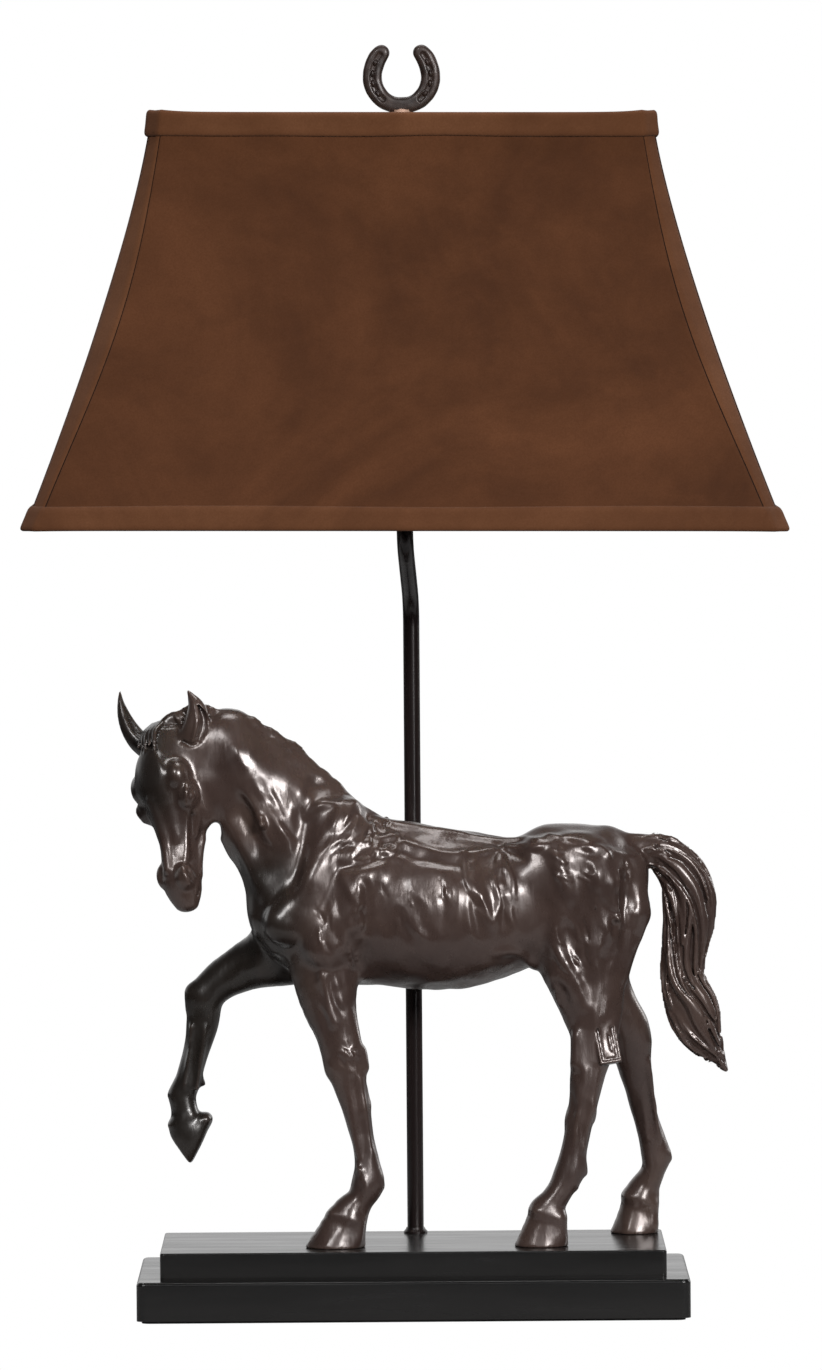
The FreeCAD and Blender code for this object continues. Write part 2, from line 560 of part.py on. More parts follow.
def drop(z):
    """How far down the shade a height is, 0 at its top and 1 at its floor."""
    return (size("shade_top") - z) / (size("shade_top") - size("shade_floor"))


def plan(z, proud=0.0):
    """The eight corners of the shade's plan at a height, in order from the front panel's left end."""
    down = drop(z)
    flare = size("shade_flare") * max(down, 0) ** size("shade_curve")
    wide = size("shade_wide") / 2 + flare + proud
    deep = size("shade_deep") / 2 + flare + proud
    gusset = size("gusset_ends") + (size("gusset_middle") - size("gusset_ends")) * math.sin(math.pi * down) ** 2
    gusset += proud * (2 - math.sqrt(2))
    corners = []
    for sign_x, sign_y in ((-1, -1), (1, -1), (1, 1), (-1, 1)):
        along_x = Vector(sign_x * (wide - gusset), sign_y * deep, z)
        along_y = Vector(sign_x * wide, sign_y * (deep - gusset), z)
        corners += [along_y, along_x] if sign_x == sign_y else [along_x, along_y]
    return corners[1:] + corners[:1]


def shade_heights(low, high, trim_edges=True):
    """Heights from high down to low at the shade's stations, with the trims' inner edges or without."""
    top, floor = size("shade_top"), size("shade_floor")
    stations = [top - step * (top - floor) for step in STATIONS]
    if trim_edges:
        stations += [top - size("trim_high"), floor + size("trim_high")]
    inner = [z for z in stations if low + 1 < z < high - 1]
    return [high] + sorted(inner, reverse=True) + [low]


def wall(first, low, high):
    """One wall of the shade, between two neighbouring corners of its plan."""
    sections = []
    for z in shade_heights(low, high):
        outer, inner = plan(z), plan(z, -size("shade_thick"))
        second = (first + 1) % 8
        quad = [outer[first], outer[second], inner[second], inner[first]]
        sections.append(Part.makePolygon(quad + quad[:1]))
    return Part.makeLoft(sections, True, True)


def trim(low, high):
    """A band outside the shade's walls."""
    def loft(proud):
        rings = [Part.makePolygon(corners + corners[:1])
                 for corners in (plan(z, proud) for z in shade_heights(low, high))]
        return Part.makeLoft(rings, True, True)
    return loft(size("trim_thick")).cut(loft(0.01))


def wire_loop(z, wire):
    """A closed wire inside the walls at one height."""
    corners = plan(z, -size("shade_thick") - wire - 0.4)
    spars = [bar(a, b, wire) for a, b in zip(corners, corners[1:] + corners[:1])]
    knuckles = [Part.makeSphere(wire, corner) for corner in corners]
    return spars[0].fuse(spars[1:] + knuckles)


def bar(start, end, radius):
    """A straight round bar between two points."""
    return Part.makeCylinder(radius, (end - start).Length, start, end - start)


def make_shade():
    axis = Vector(size("axis_x"), 0, 0)
    low, high = size("shade_floor"), size("shade_top")
    for i, side in enumerate(SHADE_SIDES):
        keep(f"shade_panel_{side}", shaped(f"{side}_wall", wall(2 * i, low, high), axis))
        after = SHADE_SIDES[(i + 1) % 4]
        keep(f"shade_gusset_{side}_{after}", shaped(f"{side}_{after}_wall", wall(2 * i + 1, low, high), axis))
    keep("shade_top_trim", shaped("top_band", trim(high - size("trim_high"), high), axis))
    keep("shade_bottom_trim", shaped("bottom_band", trim(low, low + size("trim_high")), axis))

    wire = size("frame_wire")
    loop_z = high - 4
    hub_z, hub_high = size("spider_z"), size("spider_thick")
    loop = wire_loop(loop_z, wire)
    reach = plan(loop_z, -size("shade_thick") - wire - 0.4)
    half_wide, half_deep = reach[2].x, reach[4].y
    hub = Part.makeCylinder(size("spider_radius"), hub_high, Vector(0, 0, hub_z))
    inner = size("spider_radius") - 2
    ends = ((1, 0, half_wide), (-1, 0, half_wide), (0, 1, half_deep), (0, -1, half_deep))
    arms = [bar(Vector(x * inner, y * inner, hub_z + 1), Vector(x * far, y * far, loop_z), wire * 0.9)
            for x, y, far in ends]
    bore = Part.makeCylinder(size("stud_radius") + size("stud_clear"), 10, Vector(0, 0, hub_z - 4))
    keep("shade_top_ring", shaped("top_loop", loop, axis))
    keep("shade_spider_hub", shaped("hub", hub.cut(bore), axis))
    keep("shade_spider_arms", shaped("arm_set", Part.makeCompound([arm.cut([hub, loop]) for arm in arms]), axis))
    keep("shade_bottom_ring", shaped("bottom_loop", wire_loop(low + 3, wire), axis))

    heights = shade_heights(low + 3 + wire, loop_z - wire, trim_edges=False)
    rib = size("rib_wire")
    ribs = []
    for corner in range(8):
        spots = [plan(z, -size("shade_thick") - rib - 0.8)[corner] for z in heights]
        spars = [bar(a, b, rib) for a, b in zip(spots, spots[1:])]
        ribs.append(spars[0].fuse(spars[1:] + [Part.makeSphere(rib, spot) for spot in spots[1:-1]]))
    keep("shade_ribs", shaped("rib_set", Part.makeCompound(ribs), axis))


# ---------------------------------------------------------------- finial

def make_finial():
    on_axis = {"at_x": "axis_x"}
    bore = "stud_radius + stud_clear"
    deep = "stud_top - finial_floor + 1"
    top = "finial_neck_top - finial_floor"
    keep("finial_neck", turned("neck_turning", [
        (bore, "0"), ("finial_neck_radius + 1.5", "0"), ("finial_neck_radius + 1.5", "3"),
        ("finial_neck_radius - 1", "6"), ("finial_neck_radius", "10"), ("finial_neck_radius - 0.5", top),
        ("0", top), ("0", deep), (bore, deep)], at_z="finial_floor", **on_axis))
    wide, high, branch = size("shoe_wide"), size("shoe_high"), size("shoe_branch")
    thick, low = size("shoe_thick"), size("finial_neck_top")
    outer, inner = horseshoe(wide / 2, high, 0), horseshoe(wide / 2, high, branch)
    flat = outer.cut(inner)
    shoe = flat.extrude(Vector(0, thick, 0))
    shoe.translate(Vector(0, -thick / 2, low - 1.2))
    shoe = shoe.cut(Part.makeCylinder(size("finial_neck_radius") + 0.5, low + 2, Vector(0, 0, -2)))
    keep("finial_horseshoe", shaped("shoe", shoe, Vector(size("axis_x"), 0, 0)))


def horseshoe(half, high, inset):
    """A face in XZ shaped like a horseshoe's outside, or its open inside when inset."""
    across = half - inset
    bottom, centre = inset * 1.05, half * 0.98
    tip = across * 0.72 if inset == 0 else across * 0.42
    top = high if inset == 0 else high + 10
    left = [Vector(-across, 0, centre), Vector(-across * 0.93, 0, centre + (high - centre) * 0.55),
            Vector(-tip, 0, top)]
    right = [Vector(-spot.x, 0, spot.z) for spot in left[::-1]]
    side = Part.BSplineCurve()
    side.interpolate(right)
    other = Part.BSplineCurve()
    other.interpolate(left)
    bow = Part.Arc(left[0], Vector(0, 0, bottom), right[-1]).toShape()
    edges = [bow, side.toShape(), Part.LineSegment(right[0], left[-1]).toShape(), other.toShape()]
    return Part.Face(Part.Wire(Part.__sortEdges__(edges)))


# ---------------------------------------------------------------- check and write

def check():
    """Stop on any failed object or unsound sub-part."""
    for item in doc.Objects:
        states = [state for state in item.State if state in ("Invalid", "Error")]
        if states:
            raise RuntimeError(f"{item.Name}: {states}")
    for node, feature in KEPT.items():
        shape = feature.Shape
        if shape.isNull() or not shape.isValid() or not shape.Solids:
            raise RuntimeError(f"{node}: unsound shape")
        print(f"{node:28s} solids {len(shape.Solids):2d}  volume {shape.Volume:12.1f}  box "
              + " ".join(f"{value:.1f}" for value in (shape.BoundBox.XMin, shape.BoundBox.XMax,
                         shape.BoundBox.YMin, shape.BoundBox.YMax, shape.BoundBox.ZMin, shape.BoundBox.ZMax)))


def write():
    os.makedirs("parts", exist_ok=True)
    for node, feature in KEPT.items():
        feature.Shape.exportStep(f"parts/{node}.step")


fill_sheet()
make_base()
make_bushing()
make_pole()
make_horse()
make_socket()
make_switch()
make_bulb()
make_harp()
make_shade()
make_finial()
doc.recompute()
check()
write()
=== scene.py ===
"""The looks of the table lamp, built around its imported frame."""

import json
import math

import bpy
import numpy as np
import openvdb
from mathutils import Matrix, Vector


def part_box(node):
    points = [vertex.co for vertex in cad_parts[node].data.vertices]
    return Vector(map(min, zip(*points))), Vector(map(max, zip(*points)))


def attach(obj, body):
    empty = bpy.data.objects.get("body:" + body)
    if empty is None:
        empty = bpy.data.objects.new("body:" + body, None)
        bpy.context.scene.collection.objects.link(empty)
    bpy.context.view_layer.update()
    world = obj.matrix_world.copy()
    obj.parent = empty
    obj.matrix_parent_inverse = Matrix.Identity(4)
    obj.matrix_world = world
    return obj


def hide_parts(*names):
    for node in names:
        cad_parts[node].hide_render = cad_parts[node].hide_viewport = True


MM = 0.001
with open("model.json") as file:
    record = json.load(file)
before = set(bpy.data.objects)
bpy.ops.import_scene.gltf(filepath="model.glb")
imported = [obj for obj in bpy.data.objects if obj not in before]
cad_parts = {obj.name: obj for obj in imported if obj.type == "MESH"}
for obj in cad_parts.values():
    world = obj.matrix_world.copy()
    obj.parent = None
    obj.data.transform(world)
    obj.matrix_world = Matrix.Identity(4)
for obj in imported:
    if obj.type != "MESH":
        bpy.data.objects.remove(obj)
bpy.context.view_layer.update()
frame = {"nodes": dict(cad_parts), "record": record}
NODES = frame["nodes"]

# ---------------------------------------------------------------- places read from the frame

UPPER_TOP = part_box("base_upper_tier")[1].z
SHADE_LOW, SHADE_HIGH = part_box("shade_panel_front")[0].z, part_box("shade_panel_front")[1].z
POST_LOW, POST_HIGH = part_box("harp_post")
AXIS_X = (POST_LOW.x + POST_HIGH.x) / 2


# ---------------------------------------------------------------- camera

LENS_MM, SENSOR_MM = 246.05, 36
CAMERA_PLACE = (0.0011, -5.6714, 0.64046)
PITCH, ROLL = 0.045937, math.radians(0.418)
FARTHEST = 40


def make_camera():
    """A long lens level with the shade, looking slightly down."""
    camera = bpy.data.cameras.new("camera")
    holder = bpy.data.objects.new("camera", camera)
    bpy.context.scene.collection.objects.link(holder)
    camera.lens, camera.sensor_width, camera.clip_end = LENS_MM, SENSOR_MM, FARTHEST
    holder.matrix_world = (Matrix.Translation(CAMERA_PLACE)
                           @ Matrix.Rotation(math.pi / 2 - PITCH, 4, "X")
                           @ Matrix.Rotation(-ROLL, 4, "Z"))
    bpy.context.scene.camera = holder


# ---------------------------------------------------------------- node helpers

SOCKETS = {"colour": "Base Color", "roughness": "Roughness", "metallic": "Metallic", "coat": "Coat Weight",
           "coat_roughness": "Coat Roughness", "sheen": "Sheen Weight", "sheen_roughness": "Sheen Roughness",
           "specular": "Specular IOR Level", "transmission": "Transmission Weight",
           "subsurface": "Subsurface Weight"}


class Tree:
    """A node tree, written one node at a time."""

    def __init__(self, tree):
        self.tree = tree

    def add(self, kind, values=None, **settings):
        node = self.tree.nodes.new(kind)
        for name, value in settings.items():
            setattr(node, name, value)
        for name, value in (values or {}).items():
            node.inputs[name].default_value = value
        return node

    def link(self, start, end):
        self.tree.links.new(start, end)

    def feed(self, value, socket):
        if isinstance(value, bpy.types.NodeSocket):
            self.link(value, socket)
        elif isinstance(value, tuple) and len(value) == 3:
            socket.default_value = value + (1,)
        else:
            socket.default_value = value

    def spread(self, factor, low, high, start=0.3, end=0.7):
        """A factor mapped to a range of plain numbers."""
        node = self.add("ShaderNodeMapRange",
                        {"From Min": start, "From Max": end, "To Min": low, "To Max": high})
        self.link(factor, node.inputs["Value"])
        return node.outputs["Result"]

    def maths(self, operation, first, second):
        node = self.add("ShaderNodeMath", operation=operation)
        self.feed(first, node.inputs[0])
        self.feed(second, node.inputs[1])
        return node.outputs["Value"]

    def unless_seen(self, lit, pale, output):
        """Show the lit shader to the light and the pale one to the camera."""
        seen, blend = self.add("ShaderNodeLightPath"), self.add("ShaderNodeMixShader")
        self.link(seen.outputs["Is Camera Ray"], blend.inputs["Fac"])
        self.link(lit.outputs[0], blend.inputs[1])
        self.link(pale.outputs[0], blend.inputs[2])
        self.link(blend.outputs["Shader"], self.tree.nodes[output].inputs["Surface"])


class Nodes(Tree):
    """A material's node tree."""

    def __init__(self, name):
        self.material = bpy.data.materials.new(name)
        self.material.use_nodes = True
        super().__init__(self.material.node_tree)
        self.shader = self.tree.nodes["Principled BSDF"]

    def place(self, scale=(1, 1, 1)):
        """Object coordinates, stretched."""
        coordinates = self.add("ShaderNodeTexCoord")
        mapping = self.add("ShaderNodeMapping")
        mapping.inputs["Scale"].default_value = scale
        self.link(coordinates.outputs["Object"], mapping.inputs["Vector"])
        return mapping.outputs["Vector"]

    def noise(self, scale, detail, rough, stretch=(1, 1, 1), distortion=0.0):
        node = self.add("ShaderNodeTexNoise", {"Scale": scale, "Detail": detail, "Roughness": rough,
                                               "Distortion": distortion})
        self.link(self.place(stretch), node.inputs["Vector"])
        return node.outputs["Fac"]

    def pointed(self):
        """How far a place stands out, 0.5 where it is flat."""
        return self.add("ShaderNodeNewGeometry").outputs["Pointiness"]

    def ramp(self, factor, *stops):
        """Colours by position."""
        node = self.add("ShaderNodeValToRGB")
        elements = node.color_ramp.elements
        while len(elements) < len(stops):
            elements.new(0.5)
        for element, (position, colour) in zip(elements, stops):
            element.position = position
            element.color = (*colour, 1)
        self.link(factor, node.inputs["Fac"])
        return node.outputs["Color"]

    def mix(self, factor, first, second):
        node = self.add("ShaderNodeMix", data_type="RGBA")
        self.feed(factor, node.inputs["Factor"])
        self.feed(first, node.inputs["A"])
        self.feed(second, node.inputs["B"])
        return node.outputs["Result"]

    def set(self, **values):
        for name, value in values.items():
            self.feed(value, self.shader.inputs[SOCKETS[name]])

    def bump(self, *layers):
        """Bump layers of (height, strength, distance), the first lowest."""
        normal = None
        for height, strength, distance in layers:
            node = self.add("ShaderNodeBump", {"Strength": strength, "Distance": distance})
            self.link(height, node.inputs["Height"])
            if normal:
                self.link(normal, node.inputs["Normal"])
            normal = node.outputs["Normal"]
        self.link(normal, self.shader.inputs["Normal"])


# ---------------------------------------------------------------- materials

def bronze_cast():
    """Dark patina, browner on the high places, with brushed sculptor's strokes, and painted shade on the raised
    leg, the chest and the face.
    """
    m = Nodes("bronze_cast")
    fine = m.noise(90, 4, 0.6, stretch=(1, 1, 0.55))
    colour = m.ramp(m.noise(14, 5, 0.6), (0.3, (0.043, 0.026, 0.022)), (0.55, (0.068, 0.043, 0.036)),
                    (0.75, (0.092, 0.060, 0.048)))
    # painted shade: the raised leg, the chest and the face turn near black as if in shadow
    colour = m.mix(painted_shade_places(m), colour, (0.013, 0.011, 0.009))
    ridges, creases = m.spread(m.pointed(), 0.0, 0.5, 0.51, 0.60), m.spread(m.pointed(), 0.8, 0.0, 0.41, 0.488)
    worn = m.mix(ridges, colour, (0.12, 0.080, 0.064))
    m.set(colour=m.mix(creases, worn, (0.006, 0.004, 0.004)), metallic=0.25,
          roughness=m.spread(fine, 0.22, 0.36), coat=0.24, coat_roughness=0.16, specular=0.65)
    m.bump((m.noise(60, 3, 0.55, stretch=(1, 1, 0.3)), 0.36, 0.001),
           (m.noise(230, 3, 0.6, stretch=(1, 1, 0.22)), 0.42, 0.0005), (fine, 0.22, 0.0004))
    return m.material


def painted_shade_places(m):
    """A mask of painted shade over the raised leg, the chest and the face, darkened as if they stood in shadow;
    places in metres.
    """
    place = m.add("ShaderNodeSeparateXYZ")
    m.link(m.place(), place.inputs["Vector"])
    east, high = place.outputs["X"], place.outputs["Z"]
    leg = m.maths("MULTIPLY", m.spread(east, 0.9, 0.0, -0.095, -0.070), m.spread(high, 1.0, 0.0, 0.228, 0.240))
    front, rear = m.spread(east, 0.0, 0.8, -0.122, -0.108), m.spread(east, 1.0, 0.0, -0.078, -0.054)
    chest = m.maths("MULTIPLY", m.maths("MULTIPLY", front, rear), m.spread(high, 1.0, 0.0, 0.268, 0.290))
    face = m.maths("MULTIPLY", m.spread(east, 0.85, 0.0, -0.152, -0.130), m.spread(high, 0.0, 1.0, 0.286, 0.312))
    return m.maths("MAXIMUM", leg, m.maths("MAXIMUM", chest, face))


def bronze_tube():
    """Dark plated tube, drawn lengthwise."""
    m = Nodes("bronze_tube")
    drawn = m.noise(30, 3, 0.5, stretch=(6, 6, 0.2))
    m.set(colour=m.ramp(drawn, (0.3, (0.012, 0.008, 0.008)), (0.7, (0.022, 0.014, 0.013))),
          metallic=0.3, roughness=m.spread(drawn, 0.22, 0.30), coat=0.2, coat_roughness=0.15)
    m.bump((m.noise(220, 2, 0.5, stretch=(6, 6, 0.2)), 0.05, 0.0002))
    return m.material


def black_lacquer():
    """Satin black over wood, with faint grain and softly rubbed edges."""
    m = Nodes("black_lacquer")
    grain = m.noise(30, 4, 0.6, stretch=(0.3, 3, 3))
    edge = m.spread(m.pointed(), 0.0, 0.4, 0.52, 0.62)
    m.set(colour=m.mix(edge, m.ramp(grain, (0.3, (0.005, 0.005, 0.005)), (0.7, (0.009, 0.0085, 0.0085))),
                       (0.024, 0.022, 0.021)),
          roughness=m.spread(grain, 0.20, 0.28), specular=0.42)
    m.bump((grain, 0.06, 0.0004), (m.noise(400, 2, 0.5), 0.03, 0.0001))
    return m.material


def suede(name, low, middle, high):
    """Mottled faux suede: clouded colour, short nap, and painted shade darkening the seams and other hollows."""
    m = Nodes(name)
    cloud = m.noise(6.5, 5, 0.62, distortion=0.8)
    blotch = m.noise(34, 4, 0.65, stretch=(0.8, 0.8, 1.2), distortion=0.3)
    nap = m.noise(900, 2, 0.6)
    colour = m.ramp(cloud, (0.30, low), (0.5, middle), (0.70, high))
    colour = m.mix(m.spread(blotch, 0.0, 0.4, 0.5, 0.75), colour, high)
    colour = m.mix(m.spread(blotch, 0.35, 0.0, 0.25, 0.5), colour, low)
    colour = m.mix(m.spread(nap, 0.0, 0.25, 0.35, 0.7), colour, low)
    # painted shade: hollow places, the seams most, are darkened as if in shadow
    seam = m.spread(m.pointed(), 0.75, 0.0, 0.42, 0.495)
    colour = m.mix(seam, colour, tuple(0.25 * channel for channel in low))
    m.set(colour=colour, roughness=m.spread(nap, 0.82, 0.95), specular=0.1, sheen=0.05,
          sheen_roughness=0.5)
    m.bump((m.noise(60, 4, 0.6), 0.14, 0.0006), (nap, 0.25, 0.0002))
    return m.material


def plain(name, colour, variation, scale, metallic=0.0, rough=(0.3, 0.5), stretch=(1, 1, 1), bump=0.1,
          **others):
    """A finished material with its own mottling and micro surface."""
    m = Nodes(name)
    noise = m.noise(scale, 4, 0.6, stretch=stretch)
    light = tuple(min(1.0, channel * (1 + variation)) for channel in colour)
    dark = tuple(channel * (1 - variation) for channel in colour)
    m.set(colour=m.ramp(noise, (0.3, dark), (0.7, light)), metallic=metallic,
          roughness=m.spread(noise, *rough), **others)
    m.bump((m.noise(scale * 6, 3, 0.6, stretch=stretch), bump, 0.0002))
    return m.material


MATERIALS = {
    "bronze_cast": bronze_cast(),
    "bronze_pole": bronze_tube(),
    "black_lacquer": black_lacquer(),
    "shade_suede": suede("shade_suede", (0.043, 0.0155, 0.0064), (0.070, 0.0255, 0.0100), (0.100, 0.037, 0.0150)),
    "shade_trim": suede("shade_trim", (0.060, 0.022, 0.0088), (0.094, 0.036, 0.0148), (0.126, 0.051, 0.0225)),
    # the seams' dark thread together with painted shadow in their grooves
    "seam_thread_and_shadow": plain("seam_thread_and_shadow", (0.012, 0.0055, 0.003), 0.3, 300, 0, (0.85, 0.95), bump=0.3, specular=0.1),
    "shade_liner": plain("shade_liner", (0.74, 0.70, 0.62), 0.05, 300, 0, (0.6, 0.8), stretch=(1, 1, 4), bump=0.2,
                         subsurface=0.1),
    "bronze_finial": plain("bronze_finial", (0.022, 0.011, 0.008), 0.5, 70, 0.3, (0.38, 0.52), bump=0.02,
                           coat=0.08),
    "copper_wash": plain("copper_wash", (0.42, 0.27, 0.20), 0.2, 200, 0.2, (0.5, 0.7)),
    "felt": plain("felt", (0.02, 0.02, 0.02), 0.3, 500, 0, (0.9, 1.0), bump=0.5, sheen=0.2),
    "steel_zinc": plain("steel_zinc", (0.55, 0.56, 0.57), 0.15, 120, 1, (0.25, 0.4)),
    "bushing_plastic": plain("bushing_plastic", (0.02, 0.015, 0.013), 0.2, 200, 0, (0.45, 0.6)),
    "brass": plain("brass", (0.62, 0.42, 0.17), 0.12, 60, 1, (0.2, 0.34), stretch=(1, 1, 0.3)),
    "socket_fibre": plain("socket_fibre", (0.35, 0.22, 0.12), 0.2, 150, 0, (0.8, 0.95)),
    "phenolic": plain("phenolic", (0.018, 0.012, 0.010), 0.3, 80, 0, (0.25, 0.4)),
    "tungsten": plain("tungsten", (0.25, 0.25, 0.26), 0.2, 300, 1, (0.3, 0.5)),
    "shade_wire": plain("shade_wire", (0.62, 0.55, 0.42), 0.12, 90, 0.9, (0.3, 0.45)),
    "bulb_glass": plain("bulb_glass", (0.86, 0.85, 0.82), 0.03, 40, 0, (0.35, 0.45), transmission=0.35,
                        subsurface=0.3),
    "clear_glass": plain("clear_glass", (0.80, 0.84, 0.82), 0.03, 60, 0, (0.05, 0.1), transmission=0.9),
}


def finish_node(obj, slot):
    """Give an object its procedural material in every slot."""
    if not obj.material_slots:
        obj.data.materials.append(MATERIALS[slot])
    for item in obj.material_slots:
        item.material = MATERIALS[slot]


def finish_cad_nodes():
    slots = {item["node"]: item["material_slot"] for item in frame["record"]["subparts"]}
    for name, obj in NODES.items():
        finish_node(obj, slots[name])


def new_piece(name, vertices, faces, body, slot, nodes=()):
    """A smooth mesh piece that rides on a body and may stand for CAD nodes."""
    mesh = bpy.data.meshes.new(name)
    mesh.from_pydata([tuple(v) for v in vertices], [], [tuple(f) for f in faces])
    mesh.validate()
    obj = bpy.data.objects.new(name, mesh)
    bpy.context.scene.collection.objects.link(obj)
    mesh.polygons.foreach_set("use_smooth", [True] * len(mesh.polygons))
    finish_node(obj, slot)
    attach(obj, body)
    if nodes:
        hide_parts(*nodes)
    return obj


# ---------------------------------------------------------------- clay: a distance field to sculpt in

class Clay:
    """A block of cells that hold the distance to the surface, in millimetres, negative inside."""

    EMPTY = 9.0

    def __init__(self, low, high, cell):
        self.low, self.cell = np.array(low, float), cell
        self.shape = tuple(int(math.ceil((b - a) / cell)) + 1 for a, b in zip(low, high))
        self.field = np.full(self.shape, self.EMPTY, np.float32)
        self.ticks = [self.low[i] + cell * np.arange(self.shape[i], dtype=np.float32) for i in range(3)]

    def places(self):
        """The places of all the cells, as three arrays that broadcast."""
        x, y, z = self.ticks
        return x[:, None, None], y[None, :, None], z[None, None, :]

    def window(self, low, high):
        """The cells in a box, as slices, and their places, as three arrays that broadcast."""
        slices = []
        for i in range(3):
            start = max(0, int((low[i] - self.low[i]) / self.cell))
            stop = min(self.shape[i], int((high[i] - self.low[i]) / self.cell) + 2)
            slices.append(slice(start, max(start, stop)))
        x, y, z = self.places()
        return tuple(slices), (x[slices[0]], y[:, slices[1]], z[:, :, slices[2]])

    def join(self, slices, distance, soft):
        """Add a lump, blending over soft millimetres."""
        field = self.field[slices]
        if soft > 0:
            share = np.clip(0.5 + 0.5 * (field - distance) / soft, 0, 1)
            field[...] = field * (1 - share) + distance * share - soft * share * (1 - share)
        else:
            np.minimum(field, distance, out=field)

    def take(self, slices, distance, soft):
        """Cut a hollow, easing its rim over soft millimetres."""
        field = self.field[slices]
        share = np.clip(0.5 - 0.5 * (field + distance) / soft, 0, 1)
        field[...] = field * (1 - share) - distance * share + soft * share * (1 - share)

    def apply(self, slices, distance, soft, carve):
        """Add a shape, or cut it out."""
        if carve:
            self.take(slices, distance, max(soft, 0.3))
        else:
            self.join(slices, distance, soft)

    def rod_distance(self, places, start, end):
        """A tapered rod between two (x, y, z, reach, across) stations."""
        x, y, z = places
        a, b = np.array(start[:3], float), np.array(end[:3], float)
        along = b - a
        length2 = max(float(along @ along), 1e-9)
        t = np.clip(((x - a[0]) * along[0] + (y - a[1]) * along[1] + (z - a[2]) * along[2]) / length2, 0, 1)
        reach = start[3] + t * (end[3] - start[3])
        across = start[4] + t * (end[4] - start[4])
        dx, dy, dz = x - a[0] - t * along[0], y - a[1] - t * along[1], z - a[2] - t * along[2]
        flat = reach / across
        gap = np.sqrt(dx * dx + dy * dy * flat * flat + dz * dz) - reach
        return (gap * np.minimum(1.0, 1.15 / np.maximum(flat, 0.6))).astype(np.float32)

    def limb(self, stations, soft, carve=False, refine=4):
        """A limb through its stations, smoothed between them."""
        points = smooth_stations(stations, refine)
        margin = soft + 3 * self.cell + 1
        low = points[:, :3].min(0) - points[:, 3:].max() - margin
        high = points[:, :3].max(0) + points[:, 3:].max() + margin
        slices, _ = self.window(low, high)
        own = np.full(self.field[slices].shape, self.EMPTY, np.float32)
        base = [s.start for s in slices]
        for start, end in zip(points, points[1:]):
            pad = max(start[3:].max(), end[3:].max()) + margin
            near, near_places = self.window(np.minimum(start[:3], end[:3]) - pad,
                                            np.maximum(start[:3], end[:3]) + pad)
            inner = tuple(slice(s.start - b, s.stop - b) for s, b in zip(near, base))
            if min(own[inner].shape) == 0:
                continue
            np.minimum(own[inner], self.rod_distance(near_places, start, end), out=own[inner])
        self.apply(slices, own, soft, carve)

    def lump(self, centre, radii, soft, carve=False, axes=None):
        """An ellipsoid; axes are its three directions when it is turned."""
        reach = max(radii) + soft + 3 * self.cell + 1
        centre = np.array(centre, float)
        slices, (x, y, z) = self.window(centre - reach, centre + reach)
        dx, dy, dz = x - centre[0], y - centre[1], z - centre[2]
        if axes is None:
            parts = (dx, dy, dz)
        else:
            parts = tuple(dx * v[0] + dy * v[1] + dz * v[2] for v in axes)
        near = np.sqrt(sum((p / r) ** 2 for p, r in zip(parts, radii)))
        slope = np.sqrt(sum((p / (r * r)) ** 2 for p, r in zip(parts, radii)))
        distance = (near * (near - 1) / np.maximum(slope, 1e-6)).astype(np.float32)
        self.apply(slices, distance, soft, carve)

    def slice_off(self, point, normal, centre, reach, soft=0.6):
        """Remove what lies beyond a plane, near a place."""
        normal = np.array(normal, float) / np.linalg.norm(normal)
        centre = np.array(centre, float)
        slices, (x, y, z) = self.window(centre - reach, centre + reach)
        beyond = (x - point[0]) * normal[0] + (y - point[1]) * normal[1] + (z - point[2]) * normal[2]
        self.take(slices, (-beyond).astype(np.float32), soft)

    def soften(self, rounds=1):
        """Even out the field with its neighbours."""
        for _ in range(rounds):
            for axis in range(3):
                near = np.take(self.field, [0], axis)
                far = np.take(self.field, [-1], axis)
                padded = np.concatenate([near, self.field, far], axis)
                count = self.field.shape[axis]
                before = np.take(padded, range(0, count), axis)
                after = np.take(padded, range(2, count + 2), axis)
                self.field = (0.5 * self.field + 0.25 * (before + after)).astype(np.float32)

    def mesh(self):
        """Vertices in metres and four-sided faces of the surface."""
        grid = openvdb.FloatGrid(self.EMPTY)
        grid.copyFromArray(self.field)
        vertices, quads = grid.convertToQuads(isovalue=0.0)
        return (vertices * self.cell + self.low) * MM, quads


def smooth_stations(stations, refine):
    """Extra stations on a smooth curve through the given ones."""
    points = np.array(stations, float)
    if len(points) == 2 or refine < 2:
        return points
    padded = np.vstack([2 * points[0] - points[1], points, 2 * points[-1] - points[-2]])
    out = []
    for i in range(len(points) - 1):
        p0, p1, p2, p3 = padded[i:i + 4]
        for j in range(refine):
            t = j / refine
            out.append(0.5 * (2 * p1 + (p2 - p0) * t + (2 * p0 - 5 * p1 + 4 * p2 - p3) * t ** 2
                              + (3 * p1 - p0 - 3 * p2 + p3) * t ** 3))
    out.append(points[-1])
    out = np.array(out)
    out[:, 3:] = np.maximum(out[:, 3:], 0.4)
    return out


# ---------------------------------------------------------------- the horse

